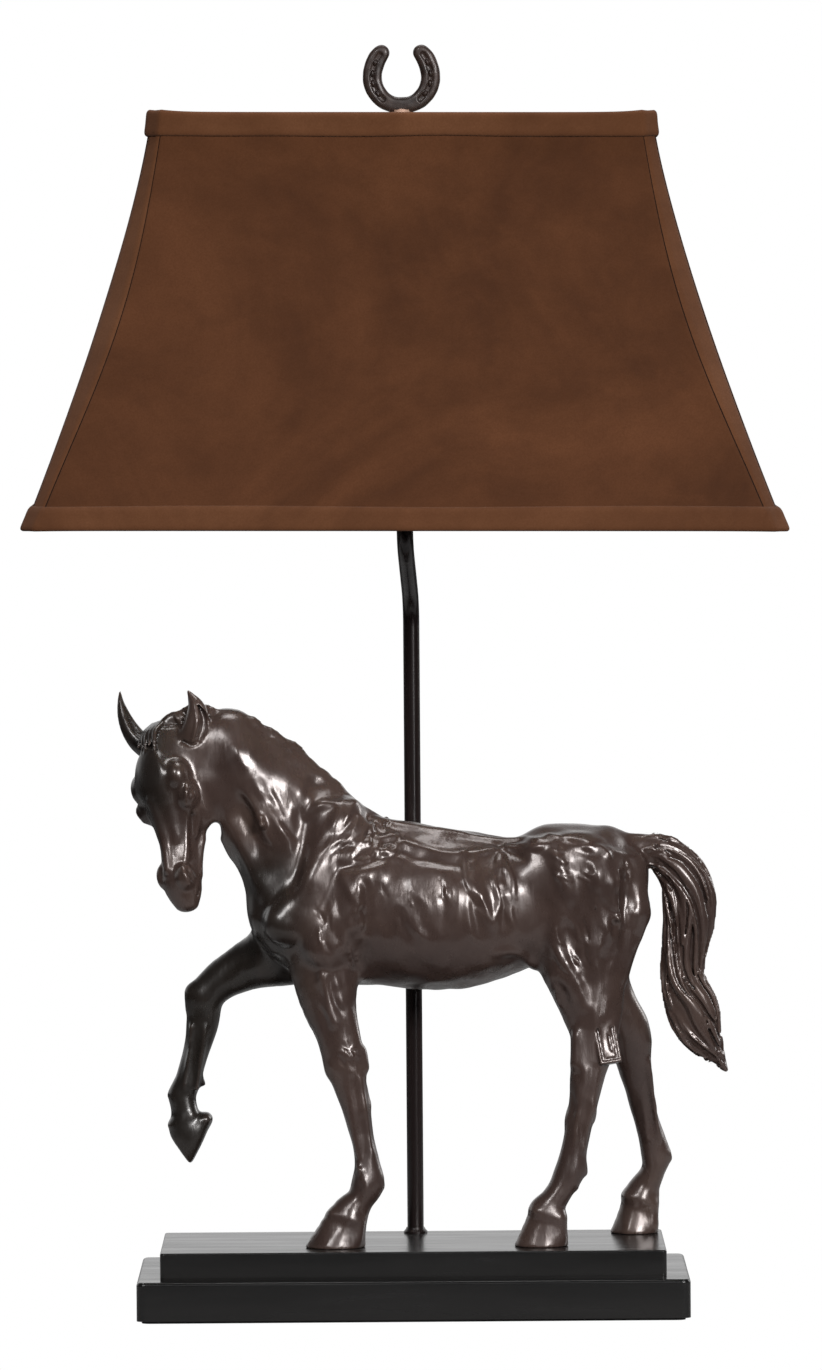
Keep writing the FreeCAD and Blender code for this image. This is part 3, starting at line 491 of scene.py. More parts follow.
# Each station: x, y, z of its centre, half reach along the body, half width across it, in millimetres.
LIMBS = {
    "barrel": ((-85, -5, 243, 14, 12), (-75, -5, 244, 24, 21), (-62, -5, 246, 37, 29),
               (-45, -5, 249, 49, 34), (-10, -5, 247, 50, 36), (25, -5, 243, 47.5, 36),
               (60, -5, 246, 40, 33), (88, -5, 256, 37, 31), (109, -5, 261, 30, 27),
               (121, -5, 265, 22, 20)),
    "neck": ((-48, -5, 262, 42, 28), (-66, -5, 285, 41, 21), (-83, -5, 305, 37, 17),
             (-99, -6, 322, 33, 14.5), (-114, -7, 333, 28, 13), (-128, -7, 339, 22, 12)),
    "near_fore": ((-52, -17, 232, 24, 15), (-52, -23, 208, 20, 14), (-48, -27, 181, 15, 11.5),
                  (-42, -29, 162, 12.3, 10.2), (-40, -29.5, 152, 12, 9.8), (-36, -30, 133, 9.2, 8.3),
                  (-30.5, -30, 108, 6.8, 6.8), (-27.8, -30, 92, 7.5, 7.5), (-27.5, -30.5, 80, 9.8, 8.6),
                  (-32, -31, 70, 8.2, 8.4), (-38, -31, 63, 10.5, 10.2)),
    "raised_arm": ((-68, 4, 222, 24, 15), (-92, 11, 212, 16.5, 13), (-112, 15, 202, 12.5, 11),
                   (-125, 16, 192, 10.5, 10)),
    "raised_cannon": ((-126, 16, 188, 10.5, 9.6), (-127, 17, 176, 10.2, 8.8), (-129, 17.5, 165, 9, 8),
                      (-132.5, 18, 152, 8.2, 7.6), (-136, 18, 140, 8.2, 7.6),
                      (-140, 18, 130, 8.6, 8.2), (-139, 18, 121, 7.2, 8)),
    "near_hind": ((99, -15, 236, 30, 17), (103, -20, 210, 25, 15), (108, -22, 190, 20.5, 13),
                  (110, -24, 172, 15, 11), (108, -26, 158, 12.5, 9.8), (105.5, -28, 142, 10.4, 8.6),
                  (102, -29, 120, 8.2, 7.2), (98, -30, 100, 7.8, 7.2), (95.5, -30, 87, 9.4, 8.4),
                  (90, -30.5, 76, 8, 8.2), (84, -31, 67, 8.6, 9), (81, -31, 63, 10, 10)),
    "far_hind": ((108, 6, 236, 26, 14), (116, 13, 204, 16, 12.5), (124.5, 19, 187, 11.5, 11),
                 (131, 23, 171, 12.5, 11),
                 (134, 27, 152, 11.2, 9.6), (138, 31, 132, 8.4, 7.6), (143.5, 35, 110, 7.6, 7.2),
                 (148.5, 38, 90, 9, 8.6), (147, 39, 80, 7.6, 8), (142.5, 41, 70, 9, 9.4),
                 (140, 41, 64, 11, 10.4)),
}
MIDDLE_Y = -5
# Head axes: from the poll down to the muzzle, to the far side, and out of the forehead.
POLL = np.array((-151.5, -6.0, 347.0))
DOWN = np.array((0.112, -0.25, -0.955))
DOWN /= np.linalg.norm(DOWN)
FAR = np.array((-0.69, 0.66, -0.30))
FAR -= (FAR @ DOWN) * DOWN
FAR /= np.linalg.norm(FAR)
BROW = -np.cross(DOWN, FAR)


def head_point(down, far, out):
    """A point of the head from how far it is down the face, to the far side and out of the forehead."""
    return POLL + down * DOWN + far * FAR + out * BROW


def shape_body(clay):
    for name in ("barrel", "neck"):
        clay.limb(LIMBS[name], 9)
    for name in ("near_fore", "near_hind", "far_hind", "raised_arm"):
        clay.limb(LIMBS[name], 6)
    clay.limb(LIMBS["raised_cannon"], 3)
    for side in (-1, 1):
        shape_muscles(clay, side)


def shape_muscles(clay, side):
    """The big masses of one side."""
    def at(x, out, z):
        return (x, MIDDLE_Y + side * out, z)

    def mass(start, end, first, second, soft=6.0, flat=0.8, carve=False):
        clay.limb((start + (first, first * flat), end + (second, second * flat)), soft, carve)

    mass(at(-36, 17, 290), at(-76, 26, 238), 11, 13, 5)  # shoulder blade
    mass(at(-26, 28, 262), at(-52, 28, 224), 15, 15, 6)  # triceps
    mass(at(-62, 24, 240), at(-84, 13, 241), 13, 10, 8)  # point of the shoulder
    mass(at(-112, 7, 326), at(-84, 16, 256), 7, 9, 7)  # lower neck band
    mass(at(-102, 8, 338), at(-46, 12, 297), 8, 11, 6)  # crest band
    mass(at(-106, 21, 308), at(-92, 29, 270), 5, 6, 7, 1, True)  # hollow between the bands
    mass(at(-14, 42, 282), at(-20, 44, 222), 5, 5, 6, 1, True)  # behind the shoulder
    clay.lump(at(98, 19, 266), (31, 14, 24), 8)  # croup
    clay.lump(at(16, 12, 240), (60, 28, 36), 9)  # rib cage
    mass(at(84, 4, 281), at(118, 5, 281), 11, 11, 8, 1)  # top of the croup
    mass(at(106, 24, 260), at(108, 20, 214), 13, 13, 6)  # thigh
    mass(at(133.5, 9, 270), at(134, 12, 242), 9.5, 10, 6)  # seat
    mass(at(134, 12, 242), at(121.5, 15, 206), 10, 9, 5)  # back of the thigh
    mass(at(92, 20, 240), at(92, 22, 206), 11, 10, 5)  # stifle
    clay.limb((at(74, 42, 286) + (9, 8), at(76, 44, 254) + (12, 10), at(74, 42, 222) + (8, 8)), 8, True)
    clay.lump(at(80, 20, 283), (7, 5, 4), 7)  # point of the hip
    mass(at(-20, 7, 296), at(60, 8, 284), 2.5, 2.5, 5, 1)  # muscle beside the spine


# Bones, tendons and grooves of the legs: how softly each blends, whether it cuts, and its x, y, z and radius.
BONES = (
    (4, False, (-53, -37, 205, 4), (-47, -37.5, 178, 3)),  # forearm muscle
    (5, False, (-48, -30, 160, 5), (-46.5, -31, 149, 4.6)),  # knee
    (3, False, (-30.5, -30, 160, 3.4), (-28.8, -31, 150, 3.2)),  # back of the knee
    (2, False, (-31, -36, 144, 1.5), (-24.5, -35.4, 98, 1.4)),  # tendon
    (2, False, (-40, -36, 142, 1.6), (-33.5, -35.6, 98, 1.3)),  # cannon bone
    (2, True, (-35.5, -38.6, 144, 1.4), (-29, -38, 98, 1.4)),  # groove between them
    (2.5, False, (-21.5, -30.5, 82, 3.2), (-18.6, -30.5, 77.5, 1.5)),  # ergot
    (3.5, False, (-133, 15, 193, 5), (-133, 16, 184, 4.5)),  # raised knee
    (2, False, (-126, 9, 172, 1.5), (-131, 10, 134, 1.3)),
    (2, False, (-134, 9.5, 172, 1.6), (-138.5, 10, 136, 1.4)),
    (2, True, (-130, 7, 172, 1.3), (-135, 7.6, 136, 1.3)),
    (2.5, False, (-130, 18, 139, 4), (-125.5, 18, 135.5, 1.6)),  # raised ergot
    (2.5, False, (-146, 18, 131, 3), (-148.5, 18, 129.5, 1.4)),
    (4, False, (119, -25, 176, 5), (119.5, -25.5, 162, 4.5), (114, -27, 150, 3.5)),  # near hock
    (5, False, (100, -32, 168, 3.2), (99.5, -33, 152, 3.2)),
    (2, False, (113, -34, 152, 1.6), (103.5, -35.6, 100, 1.5)),
    (2, False, (105, -35.5, 148, 1.6), (97, -36.4, 100, 1.4)),
    (2, True, (109, -37, 150, 1.3), (100, -38.6, 100, 1.3)),
    (2.5, False, (102.5, -30, 88, 3.2), (105.5, -30.5, 84, 1.5)),
    (4, False, (138.5, 24, 172, 4.6), (141.4, 25, 160, 4.6), (140, 26, 148, 3.5)),  # far hock
    (2, False, (144, 22, 148, 1.6), (151, 29, 100, 1.5)),
    (2, False, (138, 22, 148, 1.5), (144, 28.5, 100, 1.3)),
    (2.5, False, (155, 38, 90, 3.2), (158, 38, 86.5, 1.5)),
)


def shape_legs(clay):
    """Knees, hocks, fetlocks, tendons and hooves."""
    for soft, carve, *points in BONES:
        clay.limb([point + (point[3],) for point in points], soft, carve, 2)
    for hoof in HOOVES:
        shape_hoof(clay, *hoof)
    shape_raised_hoof(clay)


# Each hoof: x and y of its sole's centre, half length and half width there, and the x and z of its coronet.
HOOVES = ((-48, -31, 18.8, 15, -40.5, 63.5), (76.6, -31, 16.8, 14, 82, 64), (135, 41, 15.6, 12.6, 139, 65))


def shape_hoof(clay, x, y, long, wide, top_x, top_z):
    """A standing hoof: a flared wall under a soft coronet, with bulbs at its heel."""
    low = UPPER_TOP / MM - 3
    steps = 5
    stations = []
    for i in range(steps + 1):
        t = i / steps
        flare = 1 - 0.36 * t ** 0.9
        stations.append((x + (top_x - x) * t, y, low + (top_z - 2 - low) * t, long * flare, wide * flare))
    for start, end in zip(stations, stations[1:]):
        plate(clay, start, end)
    clay.limb(((top_x - 8, y, top_z - 1, 3, 8), (top_x + 6, y, top_z - 5, 3, 8)), 4)
    for side in (-1, 1):
        clay.limb(((top_x + 7, y + side * 4.5, top_z - 6, 4, 4),
                   (x + long * 0.75, y + side * 5, low + 8, 3.4, 4)), 3)
    for i in range(5):  # fine ridges down the wall, in front
        angle = math.radians(-162 + 55 * i / 4)
        out = (math.cos(angle), math.sin(angle))
        clay.limb(((x + long * 0.98 * out[0], y + wide * 0.98 * out[1], low + 5, 0.5, 0.5),
                   (top_x + long * 0.66 * out[0], y + wide * 0.66 * out[1], top_z - 6, 0.5, 0.5)), 1.2)


def plate(clay, start, end):
    """A short level-sided drum between two oval sections."""
    x0, y0, z0, reach0, across0 = start
    x1, _, z1, reach1, across1 = end
    reach = max(reach0, reach1) + 4
    slices, (x, y, z) = clay.window((min(x0, x1) - reach, y0 - reach, z0 - 3),
                                    (max(x0, x1) + reach, y0 + reach, z1 + 3))
    t = np.clip((z - z0) / (z1 - z0), 0, 1)
    middle_x, along = x0 + (x1 - x0) * t, reach0 + (reach1 - reach0) * t
    across = across0 + (across1 - across0) * t
    around = np.sqrt(((x - middle_x) / along) ** 2 + ((y - y0) / across) ** 2)
    side = (around - 1) * across
    ends = np.abs(z - (z0 + z1) / 2) - (z1 - z0) / 2 - 0.3
    clay.join(slices, np.maximum(side, ends).astype(np.float32), 2.5)


def shape_raised_hoof(clay):
    """The lifted hoof: a wedge whose sole faces back and down."""
    clay.limb(((-139, 18, 123, 7.2, 8), (-138, 18, 114, 9.3, 9.5), (-136, 18, 104, 11.5, 11),
               (-137, 18, 92, 8, 9)), 3, False, 3)
    clay.limb(((-126, 18, 115, 4.5, 9), (-131, 18, 108, 6, 9)), 3.5)
    clay.limb(((-146.5, 18, 112, 2.5, 6.5), (-134, 18, 118, 3, 8.5)), 2.5)
    clay.slice_off((-134.5, 18, 88.5), (0.87, 0, -0.49), (-128, 18, 96), 26)
    clay.slice_off((-149.5, 18, 109.5), (-0.86, 0, -0.52), (-148, 18, 96), 17)
    clay.limb(((-123.5, 18, 108, 1.5, 5), (-131, 18, 95, 1.5, 3)), 1.5, True)


class Skin:
    """Finds the surface of the clay, so that marks can be laid on it from one side."""

    def __init__(self, clay):
        self.clay = clay
        self.solid = clay.field < 0

    def y(self, x, z, side):
        """The outermost surface at a place, seen from the front, at -1, or the back, at 1."""
        clay = self.clay
        i = int(np.clip(round((x - clay.low[0]) / clay.cell), 0, clay.shape[0] - 1))
        k = int(np.clip(round((z - clay.low[2]) / clay.cell), 0, clay.shape[2] - 1))
        inside = np.flatnonzero(self.solid[i, :, k])
        if len(inside) == 0:
            return None
        j = inside[0] if side < 0 else inside[-1]
        before = j + side
        edge = 0.0
        if 0 <= before < clay.shape[1]:
            a, b = clay.field[i, j, k], clay.field[i, before, k]
            edge = float(a / (a - b)) if b > a else 0.0
        return float(clay.low[1] + (j + side * edge) * clay.cell)

    def mark(self, points, side, radius, height, soft, carve=False):
        """A ridge, or a groove, along (x, z) points, standing height out of the skin or into it."""
        path = smooth_stations([(x, 0, z, radius, radius) for x, z in points], 4)
        stations = []
        for i, (x, _, z, wide, _) in enumerate(path):
            y = self.y(x, z, side)
            if y is None:
                continue
            t = i / max(1, len(path) - 1)
            ease = min(1.0, 4.2 * min(t, 1 - t) + 0.15)
            sunk = (radius - height * ease) if not carve else -(radius - height * ease)
            stations.append((x, y - side * sunk, z, wide, wide))
        if len(stations) > 1:
            self.clay.limb(stations, soft, carve, 1)


NECK_LINE = ((-110, 348), (-103.5, 336.5), (-94, 321.5), (-84.5, 305.5), (-78.5, 293), (-76.5, 281))
# Muscle edges and creases: radius, height, how softly each blends, whether it cuts, and its x and z.
EDGES = (
    (17, 4.6, 5, False, *NECK_LINE),  # neck muscle
    (6, 1.2, 5, True, *((x - 14, z - 9) for x, z in NECK_LINE[1:5])),
    (1.8, 1.0, 1.2, True, (-101, 338), (-94, 328), (-86, 314), (-80, 303)),
    (5, 2.0, 6, True, (-55, 322), (-61, 308), (-65, 296), (-67, 280), (-71, 262)),
    (3, 1.5, 2.5, False, (-62, 301), (-55, 308), (-45, 308), (-33, 302)),  # withers
    (8, 2.0, 5, False, (-37, 304), (-46, 292), (-53, 280), (-58, 266), (-62, 254)),
    (4, 1.2, 2.5, False, (-30, 298), (-25, 292)),
    (4, 1.5, 2.5, False, (-42, 276), (-32, 282), (-14, 287)),
    (2.5, 0.9, 2, True, (-44, 272), (-30, 274), (-16, 278)),
    (1.4, 0.6, 1.2, False, (-14, 275), (-4, 277), (6, 279)),
    (1.4, 0.6, 1.2, False, (11, 273.5), (20, 273)),
    (2.4, 0.7, 2.4, False, (-22, 297), (-2, 285), (12, 280.5), (31, 278), (61, 281), (78, 283)),
    (3, 0.5, 3, True, (-24, 292), (-2, 280), (14, 275.5), (34, 273)),
    (4, 1.5, 3, False, (-38, 264), (-34, 252), (-37, 241), (-31, 230)),  # triceps edge
    (3, 1.4, 3, True, (-27, 262), (-26, 244), (-29, 224), (-33, 208)),
    (2.6, 1.1, 2.5, False, (50, 220), (62, 220.5), (71, 214), (78, 206)),  # flank fold
    (4.5, 2.0, 4, False, (91, 248), (88, 237), (87, 226), (91, 216), (98, 203), (105, 187)),
    (6, 1.4, 5, True, (96, 232), (100, 218), (107, 202)),
    (6, 1.4, 4, False, (90, 276), (93, 264), (97, 254)),  # haunch
    (9, 1.5, 6, False, (114, 270), (118, 258), (119, 242), (115, 226)),
    (4, 1.0, 4, True, (131, 262), (130, 248), (125, 232), (119, 214)),
    (2.4, 0.6, 2.4, False, (84, 289), (98, 283), (116, 281), (134, 274)),
    (8, 1.2, 6, True, (103, 268), (105, 250), (102, 232)),
)


def model_sides(clay):
    """Muscle edges and creases, laid on from each side."""
    skin = Skin(clay)
    for side in (-1, 1):
        for radius, height, soft, carve, *points in EDGES:
            skin.mark(points, side, radius, height, soft, carve)


def plaque(clay):
    """A small plain plate on the hock: a flat face, a groove inside its rim."""
    face = np.array((0.172, -0.957, 0.235))
    face /= np.linalg.norm(face)
    up = np.array((-0.14, 0, 0.99))
    up -= (up @ face) * face
    up /= np.linalg.norm(up)
    right = np.cross(up, -face)
    centre = np.array((117.6, -31.4, 162.8))
    slices, (x, y, z) = clay.window(centre - 24, centre + 24)
    dx, dy, dz = x - centre[0], y - centre[1], z - centre[2]
    gaps = [np.abs(dx * v[0] + dy * v[1] + dz * v[2]) - half
            for v, half in ((right, 6.2), (up, 11.2), (face, 3.4))]
    outside = np.sqrt(sum(np.maximum(gap, 0) ** 2 for gap in gaps))
    inside = np.minimum(np.maximum(np.maximum(gaps[0], gaps[1]), gaps[2]), 0)
    clay.join(slices, (outside + inside - 0.7).astype(np.float32), 0.8)

    def corner(across, high):
        spot = centre + right * across + up * high + face * 4.3
        return tuple(spot) + (0.9, 0.9)

    rim = [corner(*place) for place in ((-4.4, 9.4), (-4.4, -9.4), (4.4, -9.4), (4.4, 9.4))]
    for start, end in zip(rim, rim[1:]):
        clay.limb((start, end), 0.4, True)
    clay.limb((corner(-1.6, 4.5), corner(-1.9, -4.5)), 0.4, True)


# Each zone of tool marks: x and z range, direction, how many, length, radius and height.
BROAD_MARKS = (
    ((18, 62), (242, 268), (0.16, -1), 13, 24, 2.6, 1.0), ((-18, 12), (228, 268), (0.25, -1), 8, 14, 2.2, 0.45),
    ((-106, -84), (300, 340), (0.55, -1), 7, 20, 2.2, 0.28), ((-92, -74), (288, 326), (0.5, -1), 9, 24, 2.0, 0.4),
    ((-52, -34), (278, 304), (-0.6, -1), 11, 14, 1.6, 0.7), ((-40, -10), (278, 292), (1, 0.25), 9, 12, 1.6, 0.6),
    ((-46, -30), (228, 262), (0.2, -1), 9, 12, 1.9, 0.55), ((-54, -38), (170, 212), (0.2, -1), 10, 18, 1.7, 0.45),
    ((-48, -34), (150, 164), (0.7, -1), 8, 6, 1.6, 0.5), ((90, 106), (188, 244), (0.4, -1), 5, 14, 2.2, 0.3),
    ((108, 126), (226, 270), (0.1, -1), 11, 16, 1.9, 0.5), ((128, 138), (228, 270), (-0.1, -1), 6, 14, 1.7, 0.45),
    ((60, 120), (278, 290), (1, -0.1), 10, 16, 1.7, 0.35), ((102, 122), (162, 212), (-0.2, -1), 9, 14, 1.6, 0.4),
    ((-34, -24), (72, 138), (0.15, -1), 6, 14, 1.3, 0.3), ((94, 110), (74, 148), (0.1, -1), 7, 14, 1.3, 0.3))
CRISP_MARKS = (
    ((34, 64), (242, 268), (0.36, -1), 7, 26, 3.0, 0.8), ((-46, -14), (268, 298), (-0.7, -1), 11, 10, 1.4, 0.45),
    ((86, 124), (262, 284), (0.8, -0.6), 9, 8, 1.4, 0.4), ((88, 106), (188, 240), (0.4, -1), 9, 12, 1.3, 0.5),
    ((-46, -34), (148, 166), (0.5, -1), 7, 6, 1.2, 0.45), ((122, 136), (232, 268), (0, -1), 7, 12, 1.2, 0.5),
    ((-60, -28), (214, 256), (0.2, -1), 9, 9, 1.3, 0.35), ((-20, 24), (222, 262), (0.2, -1), 7, 9, 1.2, 0.3))


def tool_marks(clay, zones, seed, soft):
    """Short strokes of the modelling tool that follow each muscle."""
    skin = Skin(clay)
    dice = np.random.default_rng(seed)
    for (x0, x1), (z0, z1), way, count, length, radius, height in zones:
        way = np.array(way, float) / np.linalg.norm(way)
        for i in range(count):  # every third stroke cuts
            for side in (-1, 1):
                x, z = dice.uniform(x0, x1), dice.uniform(z0, z1)
                turn = dice.normal(0, 0.16)
                along = np.array((way[0] * math.cos(turn) - way[1] * math.sin(turn),
                                  way[0] * math.sin(turn) + way[1] * math.cos(turn)))
                across = np.array((-along[1], along[0]))
                half = length * dice.uniform(0.35, 0.6)
                curve = dice.uniform(-0.12, 0.12) * length
                spot = np.array((x, z))
                points = [spot - along * half, spot + across * curve, spot + along * half]
                skin.mark(points, side, radius * dice.uniform(0.8, 1.3),
                          height * dice.uniform(0.6, 1.1), soft, i % 3 == 2)


# The skull's sections: how far down the face, how far out of it, half depth and half width.
SKULL = ((-5, -4, 13, 13), (6, -6, 18, 16.5), (18, -8, 22, 19.5), (30, -9, 24, 20.5), (42, -9, 22.5, 17.5),
         (54, -8.5, 18.5, 13.5), (66, -7.5, 14.5, 10.9), (78, -6, 12.5, 10.6), (87, -5, 12.6, 12.6),
         (93, -5.6, 11.4, 12.0), (98, -6.2, 9.6, 10.2), (103, -7, 7.2, 7.8))
SQUARE = 2.3  # how square the sections are; 2 is an ellipse


def shape_skull(clay):
    """The head's mass, from its sections, rounded off at the muzzle."""
    slices, (x, y, z) = clay.window(POLL - (60, 60, 125), POLL + (60, 60, 30))
    dx, dy, dz = x - POLL[0], y - POLL[1], z - POLL[2]
    down = dx * DOWN[0] + dy * DOWN[1] + dz * DOWN[2]
    far = dx * FAR[0] + dy * FAR[1] + dz * FAR[2]
    out = dx * BROW[0] + dy * BROW[1] + dz * BROW[2]
    places = np.array(SKULL, float)
    along = np.clip(down, places[0, 0], places[-1, 0])
    middle, deep, wide = (np.interp(along, places[:, 0], places[:, i]).astype(np.float32) for i in (1, 2, 3))
    side = out - middle
    narrow = 1 - 0.16 * np.clip(side / deep, -1, 1) * np.clip((60 - along) / 40, 0, 1)
    around = np.sqrt((np.abs(side) / deep) ** SQUARE + (np.abs(far) / (wide * narrow)) ** SQUARE
                     + 1e-6) ** (2 / SQUARE)
    skin = (around - 1) * np.minimum(deep, wide) * 0.8
    over, ease = np.abs(down - along) - 2.5, 5.5
    rounded = np.sqrt(np.maximum(skin + ease, 0) ** 2 + np.maximum(over + ease, 0) ** 2) - ease
    clay.join(slices, (rounded + np.minimum(np.maximum(skin, over) + ease, 0)).astype(np.float32), 5)


def face_stroke(clay, points, soft, carve=False):
    """A stroke through (down, far, out, radius) points of the head."""
    clay.limb([(*head_point(*point[:3]), point[3], point[3]) for point in points], soft, carve, 3)


def shape_head(clay):
    """The head in its own axes: skull, cheeks, brows, eyes, nostrils and mouth."""
    def dab(point, radii, soft, carve=False):
        clay.lump(head_point(*point), radii, soft, carve, (DOWN, FAR, BROW))

    def stroke(points, soft, carve=False):
        face_stroke(clay, points, soft, carve)

    shape_skull(clay)
    for side in (-1, 1):
        low, back = (2.4, 1.4) if side < 0 else (5.0, 0.4)
        dab((38, 12 * side, -20), (18, 8, 14), 6)  # cheek
        dab((21.6 + low, 16.2 * side, 5.4 - back), (9 if side > 0 else 7.4, 5.6, 6.2), 5)  # brow
        dab((35 + low, 17.2 * side, 0 - back), (8, 5.0, 6), 4)  # eye socket
        dab((35.5 + low, 21.9 * side, 0.2 - back), (5.8, 2.2, 4.4), 1.2, True)  # eye opening
        dab((35.5 + low, 19.2 * side, 0.2 - back), (5.0, 3.9, 3.8), 0.4)  # eyeball
        stroke(((29.0 + low, 19.2 * side, -0.5 - back, 1.0), (31.0 + low, 21.2 * side, 3.6 - back, 1.3),
                (35.5 + low, 21.2 * side, 5.0 - back, 1.3),
                (41.5 + low, 18.6 * side, 3.2 - back, 0.9)), 1.2)  # upper lid
        stroke(((30.5 + low, 20.4 * side, -3.4 - back, 0.9), (36 + low, 20.6 * side, -4.8 - back, 1.1),
                (41 + low, 18.8 * side, -2.4 - back, 0.8)), 1.2)  # lower lid
        stroke(((46, 13.6 * side, -2.5, 2.6), (58, 10.6 * side, -3.5, 2.0), (74, 8.6 * side, -1.5, 1.5)), 4)
        stroke(((47, 15.6 * side, -8.5, 2.4), (52, 14.0 * side, -9.5, 1.8), (60, 11.6 * side, -10, 1.2)), 3)
        stroke(((50, 15.8 * side, -5, 1.5), (66, 11.6 * side, -6, 1.4)), 2.4, True)
        stroke(((46, 8.4 * side, 11.6, 1.3), (60, 6.2 * side, 7.2, 1.2), (72, 5.2 * side, 6.2, 1.0)), 2.4, True)
        high = 86 if side < 0 else 82
        wing = (7.5, 4.6, 5.2) if side < 0 else (7.0, 3.6, 4.4)
        dab((high, 9.6 * side, 1), wing, 3)  # nostril wing
        stroke(((high - 4.5, 13.2 * side, 1.6, 1.2), (high - 1, 14.6 * side, 0.6, 2.1),
                (high + 2.5, 14.2 * side, -2.2, 2.3), (high + 4, 12.8 * side, -5.2, 1.4)), 0.6, True)  # nostril
        if side < 0:
            stroke(((high - 5.5, -11.2, 4.6, 0.9), (high, -13.2, 4.8, 1.3), (high + 5.5, -12.6, 2.2, 1.2)), 1.2)
        stroke(((100.5, 3 * side, -7.5, 0.8), (96, 8.6 * side, -9, 0.9), (90, 11.4 * side, -10.5, 0.9),
                (83, 11.2 * side, -11.5, 0.7)), 1.0, True)  # mouth
        clay.lump((-112, MIDDLE_Y + 6 * side, 322), (17, 12, 19), 7)  # behind the cheek
        stroke(((56, 10.5 * side, -19, 2.0), (70, 9 * side, -15, 1.6), (84, 8 * side, -13, 1.2)), 3)  # jaw bar
    dab((94, 0, -10.2), (6, 6.4, 4.0), 2.5)  # chin
    dab((22, 0, 11), (15, 12, 4), 5)  # forehead
    stroke(((38, 0, 11.8, 3.0), (62, 0, 5.6, 2.4), (80, 0, 5.4, 2.2)), 3)  # nose bone
    for x, z, reach in ((-119, 291.5, 4.2), (-118, 295.2, 2.6)):
        clay.limb(((x, -40, z, reach, reach), (x, 30, z, reach, reach)), 2.5, True)  # throat


def shape_ears(clay):
    """Two leaf-shaped ears with hollow fronts."""
    clay.limb(((-133, -12, 349, 7.6, 7), (-129.6, -14, 356, 7.6, 6.5), (-128.2, -14, 362.5, 6.8, 6),
               (-129, -13.5, 368.5, 4.8, 4.6), (-131.4, -12.5, 373.5, 2.6, 2.6), (-133.8, -12, 377.6, 0.8, 0.8)),
              2)
    clay.limb(((-127, -20.4, 348.5, 2.2, 3.4), (-124.4, -19.6, 355.5, 3.0, 5.0), (-124.2, -18.4, 362, 2.5, 4.6),
               (-127.6, -15.6, 369, 1.1, 2.0)), 0.5, True)
    clay.limb(((-131.4, -19.4, 347, 1.0, 1.0), (-129.3, -20.6, 355, 1.1, 1.1), (-128.6, -19.8, 362.5, 1.0, 1.0),
               (-130, -17, 370, 0.7, 0.7)), 0.6)
    clay.limb(((-137, -18.5, 347.5, 1.4, 2.4), (-132, -20.4, 345, 1.8, 2.4), (-127, -20.5, 346.5, 1.3, 2.4)),
              0.8, True)
    clay.limb(((-160, 6, 343, 7, 6.5), (-165, 8, 347, 6.4, 6), (-170, 10, 354, 5.4, 5.4),
               (-173.5, 12, 362, 3.9, 4.0), (-175.4, 13, 370, 2.0, 2.2), (-175.8, 14, 376, 0.7, 0.7)), 2)
    clay.limb(((-160.5, 0.5, 349, 1.8, 2.6), (-166, 3.2, 354, 2.4, 3.4), (-170.5, 7, 362, 1.6, 2.6),
               (-173, 10, 369, 0.7, 1.2)), 0.6, True)


# The crest of the mane in x and z, from the poll to the withers.
CREST = ((-147, 362), (-138, 366.5), (-128, 369), (-121, 367.5), (-107, 362.5), (-97, 361.5), (-91, 357.5),
         (-80, 351), (-69, 344), (-62, 335), (-56, 330), (-50, 325), (-44, 319.5), (-38, 311), (-27, 304),
         (-12, 296))


def shape_mane(clay):
    """A close-cropped mane: a scalloped crest, slanting locks on both sides and a forelock."""
    line = smooth_stations([(x, MIDDLE_Y - 1, z - 4.2, 4.2, 3.0) for x, z in CREST], 4)
    line[:, 2] += 0.8 * np.sin(1.25 * np.arange(len(line)))
    clay.limb(line, 2.5, False, 1)
    dice = np.random.default_rng(7)
    steps = len(line)
    for i in range(2, steps - 6):
        x, y, z = line[i][:3]
        ahead = line[i + 1][:3] - line[i - 1][:3]
        ahead /= np.linalg.norm(ahead)
        up = np.array((-ahead[2], 0, ahead[0]))
        fade = min(1.0, (steps - i) / 14)
        for side in (-1, 1):
            lean = dice.uniform(1.5, 3.5)
            spot = np.array((x, y, z)) + ahead * dice.uniform(-1, 1)
            top = spot + up * 3.6 + np.array((0, side * 1.2, 0))
            low = spot - up * (3.2 + dice.uniform(0, 2.2)) * fade + ahead * lean + np.array((0, side * 3.4, 0))
            middle = (top + low) / 2 + np.array((0, side * 0.7, 0))
            clay.limb(((*top, 0.9, 0.9), (*middle, 1.35, 1.35), (*low, 0.5, 0.5)), 0.7, False, 2)
    for i in range(5):
        spread = (i - 2) * 3.5
        flat = abs(spread)
        tip = 7 + 4 * math.cos(2.4 * i)
        tuft = ((-11, spread * 0.7, -1, 1.8), (-5, spread * 0.8, 8.2 - 0.1 * flat, 1.7),
                (1, spread * 0.9, 11.4 - 0.14 * flat, 1.4), (tip, spread, 13.4 - 0.2 * flat, 0.7))
        face_stroke(clay, tuft, 0.8)


TAIL = ((128, -5, 281, 10, 9), (141, -5, 279.5, 11.2, 8.5), (153, -5, 276.5, 12.6, 9.5),
        (163, -5, 267, 14.5, 11), (168.5, -5, 254, 16.4, 12), (169, -5, 238, 16.2, 12),
        (166.5, -5, 222, 14.8, 11.5), (164.5, -5, 208, 13.6, 11), (165.5, -5, 196, 14.6, 10.5),
        (170, -5, 184, 16.4, 10.5), (173.5, -5, 172, 15.4, 9.5), (179, -5, 161, 10.8, 7.5),
        (185.5, -5, 151.5, 5.0, 4.4), (190.5, -5, 144.8, 1.6, 1.6))


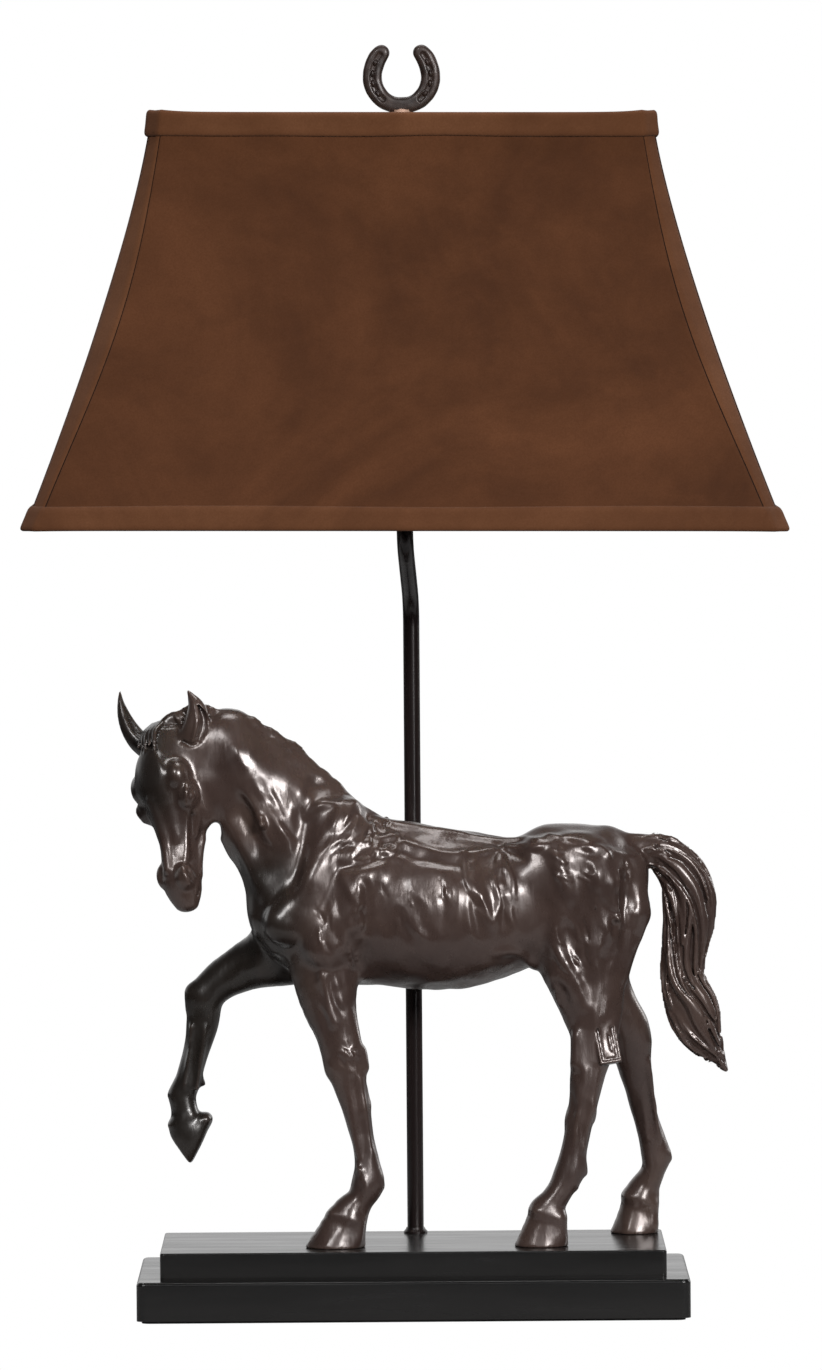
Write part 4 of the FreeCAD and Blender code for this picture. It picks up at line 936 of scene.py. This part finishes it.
# Thick locks, then fine ones: how many, their thickness, how far out they lie and how softly they blend.
LOCKS = ((13, (0.22, 0.32), 0.80, 1.8), (27, (0.07, 0.12), 0.94, 0.8))


def shape_tail(clay):
    """The dock and the hair: a core wrapped in thick twisting locks, with finer ones over them."""
    clay.limb([(x, y, z, reach * 0.82, across * 0.82) for x, y, z, reach, across in TAIL], 4)
    path = smooth_stations(TAIL, 4)
    dice = np.random.default_rng(11)
    for strands, thick_range, sunk, soft in LOCKS:
        for i in range(strands):
            phase = 2 * math.pi * i / strands
            drift = dice.uniform(0.9, 1.6)
            thick = dice.uniform(*thick_range)
            first, last = 4 + dice.integers(0, 4), len(path) - dice.integers(0, 9)
            stations = []
            for j in range(first, last):
                t = j / len(path)
                x, y, z, reach, across = path[j]
                ahead = path[min(j + 1, len(path) - 1)][:3] - path[j - 1][:3]
                ahead /= np.linalg.norm(ahead)
                wide = np.array((-ahead[2], 0, ahead[0]))
                angle = phase + drift * t * 2.2 + 0.34 * math.sin(7 * t + 1.7 * i)
                spot = (np.array((x, y, z)) + wide * math.cos(angle) * reach * sunk
                        + np.array((0, math.sin(angle) * across * sunk, 0)))
                ends = min(1.0, 0.25 + 0.2 * (j - first), 0.3 + 0.22 * (last - 1 - j))
                fine = thick * (0.45 * reach + 4) * ends
                stations.append((*spot, fine, fine))
            clay.limb(stations, soft, False, 1)
            clay.limb(groove_beside(stations, path), 1.6, True, 1)


def groove_beside(stations, path):
    """A thin groove beside a strand, a little out from the path's middle."""
    out = []
    for x, y, z, fine, _ in stations[2:-2]:
        near = path[np.argmin(((path[:, :3] - (x, y, z)) ** 2).sum(1))][:3]
        way = np.array((x, y, z)) - near
        way /= max(np.linalg.norm(way), 1e-6)
        side = np.cross(way, (0.3, 0, -1))
        side /= max(np.linalg.norm(side), 1e-6)
        out.append((*(np.array((x, y, z)) + way * 0.2 + side * fine * 1.2), 0.8, 0.8))
    return out


# Waves of the modelled surface: their length and height.
WAVES = ((30, 0.34), (19, 0.22), (12, 0.12))


def roughen(clay):
    """Slight unevenness of hand modelling: waves that follow no pattern."""
    x, y, z = clay.places()
    dice = np.random.default_rng(3)
    wave = np.zeros(clay.shape, np.float32)
    for length, height in WAVES:
        for _ in range(3):
            way = dice.normal(size=3)
            way *= (1, 1, 0.6)
            way *= 2 * math.pi / length / np.linalg.norm(way)
            warp = dice.uniform(0.5, 1.4)
            phase = x * way[0] + y * way[1] + z * way[2] + dice.uniform(0, 6.3)
            swell = np.sin(phase + warp * np.sin(z * way[0] + x * way[2]))
            wave += (height / 1.7) * swell.astype(np.float32)
    near = np.abs(clay.field) < 5
    clay.field[near] += wave[near]


HORSE_LOW, HORSE_HIGH = (-184, -60, UPPER_TOP / MM - 8), (198, 58, 384)
HORSE_CELL, QUICK_CELL = 0.85, 1.7
HORSE_TRIANGLES = 190000


def make_horse():
    """The whole figure, sculpted, then cut level with the base's top."""
    clay = Clay(HORSE_LOW, HORSE_HIGH, HORSE_CELL)
    shape_body(clay)
    shape_legs(clay)
    model_sides(clay)
    roughen(clay)
    tool_marks(clay, BROAD_MARKS, 5, 2.0)
    clay.soften(3)
    shape_head(clay)
    clay.soften(1)
    tool_marks(clay, CRISP_MARKS, 6, 1.0)
    plaque(clay)
    shape_ears(clay)
    shape_mane(clay)
    shape_tail(clay)
    floor = UPPER_TOP / MM
    slices, (_, _, z) = clay.window((-200, -70, floor - 10), (200, 70, floor + 3))
    clay.field[slices] = np.maximum(clay.field[slices], floor + 0.02 - z)
    vertices, faces = clay.mesh()
    horse = new_piece("horse_sculpture", vertices, faces, "base", "bronze_cast", ["horse_figure"])
    lighten(horse, HORSE_TRIANGLES)


def lighten(obj, triangles):
    """Collapse the flattest triangles until the mesh is light enough."""
    count = sum(len(face.vertices) - 2 for face in obj.data.polygons)
    if count <= triangles:
        return
    thin = obj.modifiers.new("thin", "DECIMATE")
    thin.ratio = triangles / count
    apply_modifiers(obj)


def apply_modifiers(obj):
    bpy.context.view_layer.update()
    evaluated = obj.evaluated_get(bpy.context.evaluated_depsgraph_get())
    mesh = bpy.data.meshes.new_from_object(evaluated)
    old = obj.data
    obj.modifiers.clear()
    obj.data = mesh
    bpy.data.meshes.remove(old)


# ---------------------------------------------------------------- the shade

SHADE_TOP_HALF, SHADE_FLARE, SHADE_CURVE = (150.0, 75.0), 75.0, 1.3
SHADE_WALLS = ("front", "right", "back", "left")
SHADE_GUSSETS = ("front_right", "right_back", "back_left", "left_front")
TRIM_HIGH = 14.0
SEAM = 0.9  # half width of a seam
TILT = 0.0076  # how far the cover drops per millimetre to the right
CLOTH = 1.15  # the cover's thickness
EASE, SEAM_DEPTH, PUFF, GUSSET_PROUD, BUCKLE = 0.25, 0.6, 0.35, 0.5, 0.22


def shade_half(z):
    """Half width, half depth and gusset leg of the shade at a height, in millimetres."""
    u = (SHADE_HIGH / MM - z) / (SHADE_HIGH - SHADE_LOW) * MM
    u = min(1.0, max(0.0, u))
    flare = SHADE_FLARE * u ** SHADE_CURVE
    return SHADE_TOP_HALF[0] + flare, SHADE_TOP_HALF[1] + flare, 7 + 5 * math.sin(math.pi * u) ** 2


def spaced(length, step, edge):
    """Places from 0 to 1 along a run: close together near its seams, then even."""
    close = [0.0, edge * 0.45, edge, edge * 2.2, edge * 4.5]
    middle = max(2, int((length - 9 * edge) / step))
    inner = [close[-1] + (length - 2 * close[-1]) * i / middle for i in range(1, middle)]
    return [c / length for c in close + inner + [length - c for c in close[::-1]]][:-1]


def shade_columns():
    """Once round the outline from the front left: the corner before, the share of the way to the next one and
    the distance to the nearest seam."""
    columns = []
    wide, deep, leg = shade_half(SHADE_LOW / MM)
    for wall in range(4):
        long = 2 * ((wide if wall % 2 == 0 else deep) - leg)
        for share in spaced(long, 7.0, SEAM):
            columns.append((2 * wall, share, min(share, 1 - share) * long))
        for share in (0.0, 0.06, 0.14, 0.32, 0.5, 0.68, 0.86, 0.94):
            columns.append((2 * wall + 1, share, min(share, 1 - share) * leg * 1.4))
    return columns


def shade_corners(z):
    """The eight corners of the shade's outline at a height, counterclockwise from the front left."""
    wide, deep, leg = shade_half(z)
    x = AXIS_X / MM
    return [np.array(p) for p in ((x - wide + leg, -deep), (x + wide - leg, -deep), (x + wide, -deep + leg),
                                  (x + wide, deep - leg), (x + wide - leg, deep), (x - wide + leg, deep),
                                  (x - wide, deep - leg), (x - wide, -deep + leg))]


def shade_point(z, column, proud):
    """A place on the outline, moved outward; near a corner it follows the mitre."""
    corner, share, _ = column
    corners = shade_corners(z)
    start, end = corners[corner], corners[(corner + 1) % 8]
    long = np.linalg.norm(end - start)
    along = (end - start) / long
    spot = start + (end - start) * share + np.array((along[1], -along[0])) * proud
    reach = min(abs(proud) * 6 + 3, long / 2)
    slant = math.tan(math.radians(22.5)) * proud
    spot -= along * slant * max(0.0, 1 - share * long / reach)
    spot += along * slant * max(0.0, 1 - (1 - share) * long / reach)
    return spot


def hang(z, spot):
    """The height of a place of the cover in metres; the shade sits slightly crooked on its rings."""
    return (z - TILT * (spot[0] - AXIS_X / MM)) * MM


def closed_mesh(rings):
    """Vertices and faces between closed rings, the last of them joined to the first."""
    count = len(rings[0])
    faces = []
    for i in range(len(rings)):
        a, b = i * count, (i + 1) % len(rings) * count
        faces += [(a + j, a + (j + 1) % count, b + (j + 1) % count, b + j) for j in range(count)]
    return [v for ring in rings for v in ring], faces


def waves(seed, count, shortest, longest, around):
    """A closed wavy line: a function of how far round, in millimetres, about 1 at most."""
    dice = np.random.default_rng(seed)
    parts = []
    for _ in range(count):
        turns = round(around / dice.uniform(shortest, longest))
        parts.append((turns, dice.uniform(0, 2 * math.pi), dice.uniform(0.5, 1)))
    total = sum(p[2] for p in parts) * 0.6

    def wave(share):
        return sum(size * math.sin(2 * math.pi * turns * share + phase) for turns, phase, size in parts) / total
    return wave


def make_shade():
    """The cloth cover, its liner and its two rolled bands."""
    columns = shade_columns()
    around = 2 * (2 * sum(shade_half(SHADE_LOW / MM)[:2]))
    low, high = SHADE_LOW / MM + 0.8, SHADE_HIGH / MM - 0.8
    rows, count = 64, len(columns)
    buckle, drift = waves(21, 5, 60, 160, around), waves(22, 4, 90, 240, around)
    outside, inside = [], []
    for i in range(rows + 1):
        t = i / rows
        z = low + (high - low) * t
        pull = math.sin(math.pi * t)
        outer, inner = [], []
        for j, column in enumerate(columns):
            share, away = j / count, column[2]
            seam = SEAM_DEPTH * math.exp(-(away / SEAM) ** 2) * min(1, 6 * pull)
            puff = PUFF * math.exp(-((away - 3.2) / 2.2) ** 2) + GUSSET_PROUD * (column[0] % 2)
            soft = BUCKLE * buckle((share + 0.02 * math.sin(5 * t)) % 1)
            soft *= math.sin(2.3 * math.pi * t + 1.4 * drift(share))
            out = (EASE + puff + soft) * pull - seam
            for ring, proud in ((outer, out), (inner, out - CLOTH)):
                spot = shade_point(z, column, proud)
                ring.append((*(spot * MM), hang(z, spot)))
        outside.append(outer)
        inside.append(inner)
    vertices, faces = closed_mesh(outside + inside[::-1])
    nodes = ["shade_panel_" + name for name in SHADE_WALLS] + ["shade_gusset_" + name for name in SHADE_GUSSETS]
    cover = new_piece("shade_cover", vertices, faces, "shade", "shade_suede", nodes)
    for name in ("shade_liner", "shade_trim", "seam_thread_and_shadow"):
        cover.data.materials.append(MATERIALS[name])
    # gussets take the trim cloth; faces right at a seam take the seam material, dark thread and painted shadow in
    # the groove
    ahead = columns[1:] + columns[:1]
    round_kinds = [2 if column[0] % 2 else 3 if max(column[2], next_one[2]) < SEAM * 1.01 else 0
                   for column, next_one in zip(columns, ahead)]
    kinds = np.zeros(len(cover.data.polygons), np.int32)
    kinds[:rows * count] = np.tile(round_kinds, rows)
    kinds[(rows + 1) * count:(2 * rows + 1) * count] = 1
    cover.data.polygons.foreach_set("material_index", kinds)
    bands = [make_band("shade_band_top", SHADE_HIGH / MM, -1, columns, 31, "shade_top_trim"),
             make_band("shade_band_bottom", SHADE_LOW / MM, 1, columns, 32, "shade_bottom_trim")]
    girth, slant, area = measure_cover(low, high)


def measure_cover(low, high, steps=200):
    """The cover's girth at its bottom edge, its slant height and its area, in millimetres."""
    def girth(z):
        wide, deep, leg = shade_half(z)
        return 4 * (wide + deep - 2 * leg) + 4 * math.sqrt(2) * leg

    slant, area = 0.0, 0.0
    for i in range(steps):
        z0, z1 = (low + (high - low) * (i + k) / steps for k in (0, 1))
        run = math.hypot(z1 - z0, shade_half(z1)[0] - shade_half(z0)[0])
        slant += run
        area += run * girth(z0)
    return girth(SHADE_LOW / MM), slant, area


# The band's section: how far out of the cover and how far in from its edge, in millimetres.
BAND = ((-1.9, 9.0), (-2.5, 6.0), (-2.7, 3.0), (-2.3, 0.7), (-1.2, -0.35), (0.3, -0.6), (1.6, -0.2), (2.5, 0.8),
        (2.75, 2.4), (2.6, 5.0), (2.5, 8.0), (2.55, 10.3), (2.4, 11.9), (1.9, 13.1), (1.1, 13.9), (0.35, 14.1),
        (-0.1, 13.6), (-0.6, 12.5), (-1.2, 11.0))


def make_band(name, edge, way, columns, seed, node):
    """A rolled band of cloth round one edge of the shade, with mitred corners and slight puckers."""
    around = 1200  # about the band's length
    wander, pucker = waves(seed, 5, 45, 150, around), waves(seed + 7, 6, 14, 40, around)
    fold = waves(seed + 9, 3, 80, 200, around)
    lift = 1.5 if way < 0 else 0.35
    rings = []
    for out, rise in BAND:
        ring = []
        for j, column in enumerate(columns):
            share = j / len(columns)
            near = math.exp(-column[2] / 16)
            seam = 0.45 * math.exp(-(column[2] / SEAM) ** 2) if out > 0.5 else 0.0
            proud = out + (0.22 * wander(share) + 0.12 * pucker(share) * (rise > 4)) * (out > 0) - seam
            high = rise + 0.28 * fold(share) * (rise > 10) - lift * near * (rise < 4) * (0.5 + 0.5 * (out > 0))
            z = edge + way * high
            spot = shade_point(edge + way * max(0.0, min(high, TRIM_HIGH)), column, proud)
            ring.append((*(spot * MM), hang(z, spot)))
        rings.append(ring)
    vertices, faces = closed_mesh(rings)
    if way < 0:
        faces = [face[::-1] for face in faces]
    band = new_piece(name, vertices, faces, "shade", "shade_trim", [node])
    rounder = band.modifiers.new("rounder", "SUBSURF")
    rounder.levels = rounder.render_levels = 1
    apply_modifiers(band)
    return band


# ---------------------------------------------------------------- the finial

# Half of the shoe's middle line: out from the axis, up from its foot, and half the branch's width.
SHOE = ((0.0, 4.2, 4.6), (6.1, 5.0, 4.9), (11.3, 7.8, 5.3), (15.2, 12.4, 5.6), (17.2, 17.4, 5.8),
        (17.6, 22.2, 5.8), (16.8, 26.9, 5.8), (15.0, 31.6, 5.7), (13.1, 34.6, 5.3), (12.0, 35.8, 4.9))


def make_finial():
    """The horseshoe: rounded branches, a fullered groove and the nail heads in it."""
    low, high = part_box("finial_horseshoe")
    foot, thick = low.z / MM - 0.9, (high.y - low.y) / MM
    middle_y = (low.y + high.y) / 2 / MM
    axis = AXIS_X / MM
    clay = Clay((low.x / MM - 2, middle_y - 7, foot - 3), (high.x / MM + 2, middle_y + 7, high.z / MM + 3),
                0.3)
    for side in (-1, 1):
        branch = [(axis + side * x, middle_y, foot + z, wide, thick * 0.66) for x, z, wide in SHOE]
        clay.limb(branch, 1.0, False, 4)
    x, y, z = clay.places()
    for face in (-1, 1):
        front = middle_y + face * thick / 2
        flat = np.broadcast_to(face * (front - y) - 0.25, clay.shape)
        clay.take((slice(None),) * 3, flat.astype(np.float32), 1.6)
        for side in (-1, 1):
            groove = [(axis + side * across, front + face * 0.3, foot + up, 2.0, 1.5)
                      for across, up, _ in SHOE[2:9]]
            clay.limb(groove, 0.7, True, 3)
            path = smooth_stations(groove, 8)
            for share in (0.14, 0.34, 0.56, 0.78):
                step = int(share * (len(path) - 1))
                spot = path[step]
                ahead = path[step + 1][:3] - spot[:3]
                ahead /= np.linalg.norm(ahead)
                clay.lump((spot[0], front - face * 0.7, spot[2]), (1.9, 1.25, 1.2), 0.5, False,
                          (ahead, np.cross(ahead, (0, 1, 0)), (0, 1, 0)))
    clay.field += 0.05 * np.sin(0.7 * x + 0.4 * z) * np.sin(0.6 * z - 0.3 * x + y)
    vertices, faces = clay.mesh()
    new_piece("finial_shoe", vertices, faces, "finial", "bronze_finial", ["finial_horseshoe"])
    finish_node(NODES["finial_neck"], "copper_wash")
    make_saddle(foot)


# The washer under the shoe: radius and height above its rim, in millimetres.
SADDLE = ((2.6, -1.5), (7.4, -1.5), (8.2, -1.1), (8.5, -0.3), (8.2, 0.5), (7.0, 1.1), (5.4, 1.8), (4.0, 2.6),
          (3.1, 3.4), (2.6, 3.8))


def make_saddle(foot):
    """A little dished washer between the shade's top and the shoe, slightly crooked."""
    sides = 48
    rings = []
    for reach, rise in SADDLE:
        ring = []
        for i in range(sides):
            angle = 2 * math.pi * i / sides
            away = reach * (1 + 0.03 * math.sin(3 * angle + 1))
            up = foot - 1.6 + rise + 0.12 * math.sin(angle + 0.5) * (reach > 3)
            ring.append((AXIS_X + away * math.cos(angle) * MM, away * math.sin(angle) * MM, up * MM))
        rings.append(ring)
    saddle = new_piece("finial_washer", *closed_mesh(rings), "finial", "brass")
    finish_node(saddle, "copper_wash")


# ---------------------------------------------------------------- the room

def make_room():
    """A plain pale floor, just under the felt, and a soft studio."""
    mesh = bpy.data.meshes.new("floor")
    under, side, front, back = -0.3 * MM, 0.9, -0.36, 0.6
    mesh.from_pydata([(-side, front, under), (side, front, under), (side, back, under), (-side, back, under)], [],
                     [(0, 1, 2, 3)])
    floor = bpy.data.objects.new("floor", mesh)
    bpy.context.scene.collection.objects.link(floor)
    m = Nodes("floor")
    m.set(colour=(0.36, 0.36, 0.36), roughness=0.9, specular=0.0)
    m.unless_seen(m.shader, m.add("ShaderNodeEmission"), "Material Output")
    mesh.materials.append(m.material)
    make_world()
    softbox("key", (1.30, -2.9, 1.40), 1.0, 0.7, 84)
    softbox("fill", (-1.2, -3.1, 2.1), 0.9, 0.6, 44)
    softbox("top", (0.0, 0.3, 2.6), 1.8, 1.0, 42)
    softbox("rim", (2.4, 1.6, 1.2), 0.5, 1.6, 16)
    softbox("strip", (0.80, -1.35, 0.55), 0.12, 0.9, 2.2)
    bpy.context.scene.view_settings.view_transform = "Standard"
    bpy.context.scene.view_settings.look = "None"


LIT_SPOT = Vector((0, 0, 0.35))


def softbox(name, place, wide, high, power):
    """A soft rectangular lamp that faces the horse."""
    light = bpy.data.lights.new(name, "AREA")
    light.shape, light.size, light.size_y, light.energy = "RECTANGLE", wide, high, power
    holder = bpy.data.objects.new(name, light)
    bpy.context.scene.collection.objects.link(holder)
    holder.location = place
    holder.rotation_euler = (Vector(place) - LIT_SPOT).to_track_quat("Z", "Y").to_euler()


def make_world():
    """A white studio behind the lamp and a dim one before it; the background itself is white."""
    world = bpy.data.worlds.new("studio")
    bpy.context.scene.world = world
    world.use_nodes = True
    t = Tree(world.node_tree)
    room, white = t.tree.nodes["Background"], t.add("ShaderNodeBackground")
    for background in (room, white):
        background.inputs["Color"].default_value = (1, 1, 1, 1)
    split = t.add("ShaderNodeSeparateXYZ")
    t.link(t.add("ShaderNodeTexCoord").outputs["Generated"], split.inputs["Vector"])
    behind = t.spread(split.outputs["Y"], 0.05, 1.0, 0.1, 0.6)
    sky = t.spread(split.outputs["Z"], 0.07, 1.0, 0.0, 0.07)
    ceiling = t.spread(split.outputs["Z"], 1.0, 0.2, 0.35, 0.75)
    t.link(t.maths("MULTIPLY", t.maths("MULTIPLY", behind, sky), ceiling), room.inputs["Strength"])
    t.unless_seen(room, white, "World Output")


make_camera()
finish_cad_nodes()
make_horse()
make_shade()
make_finial()
make_room()
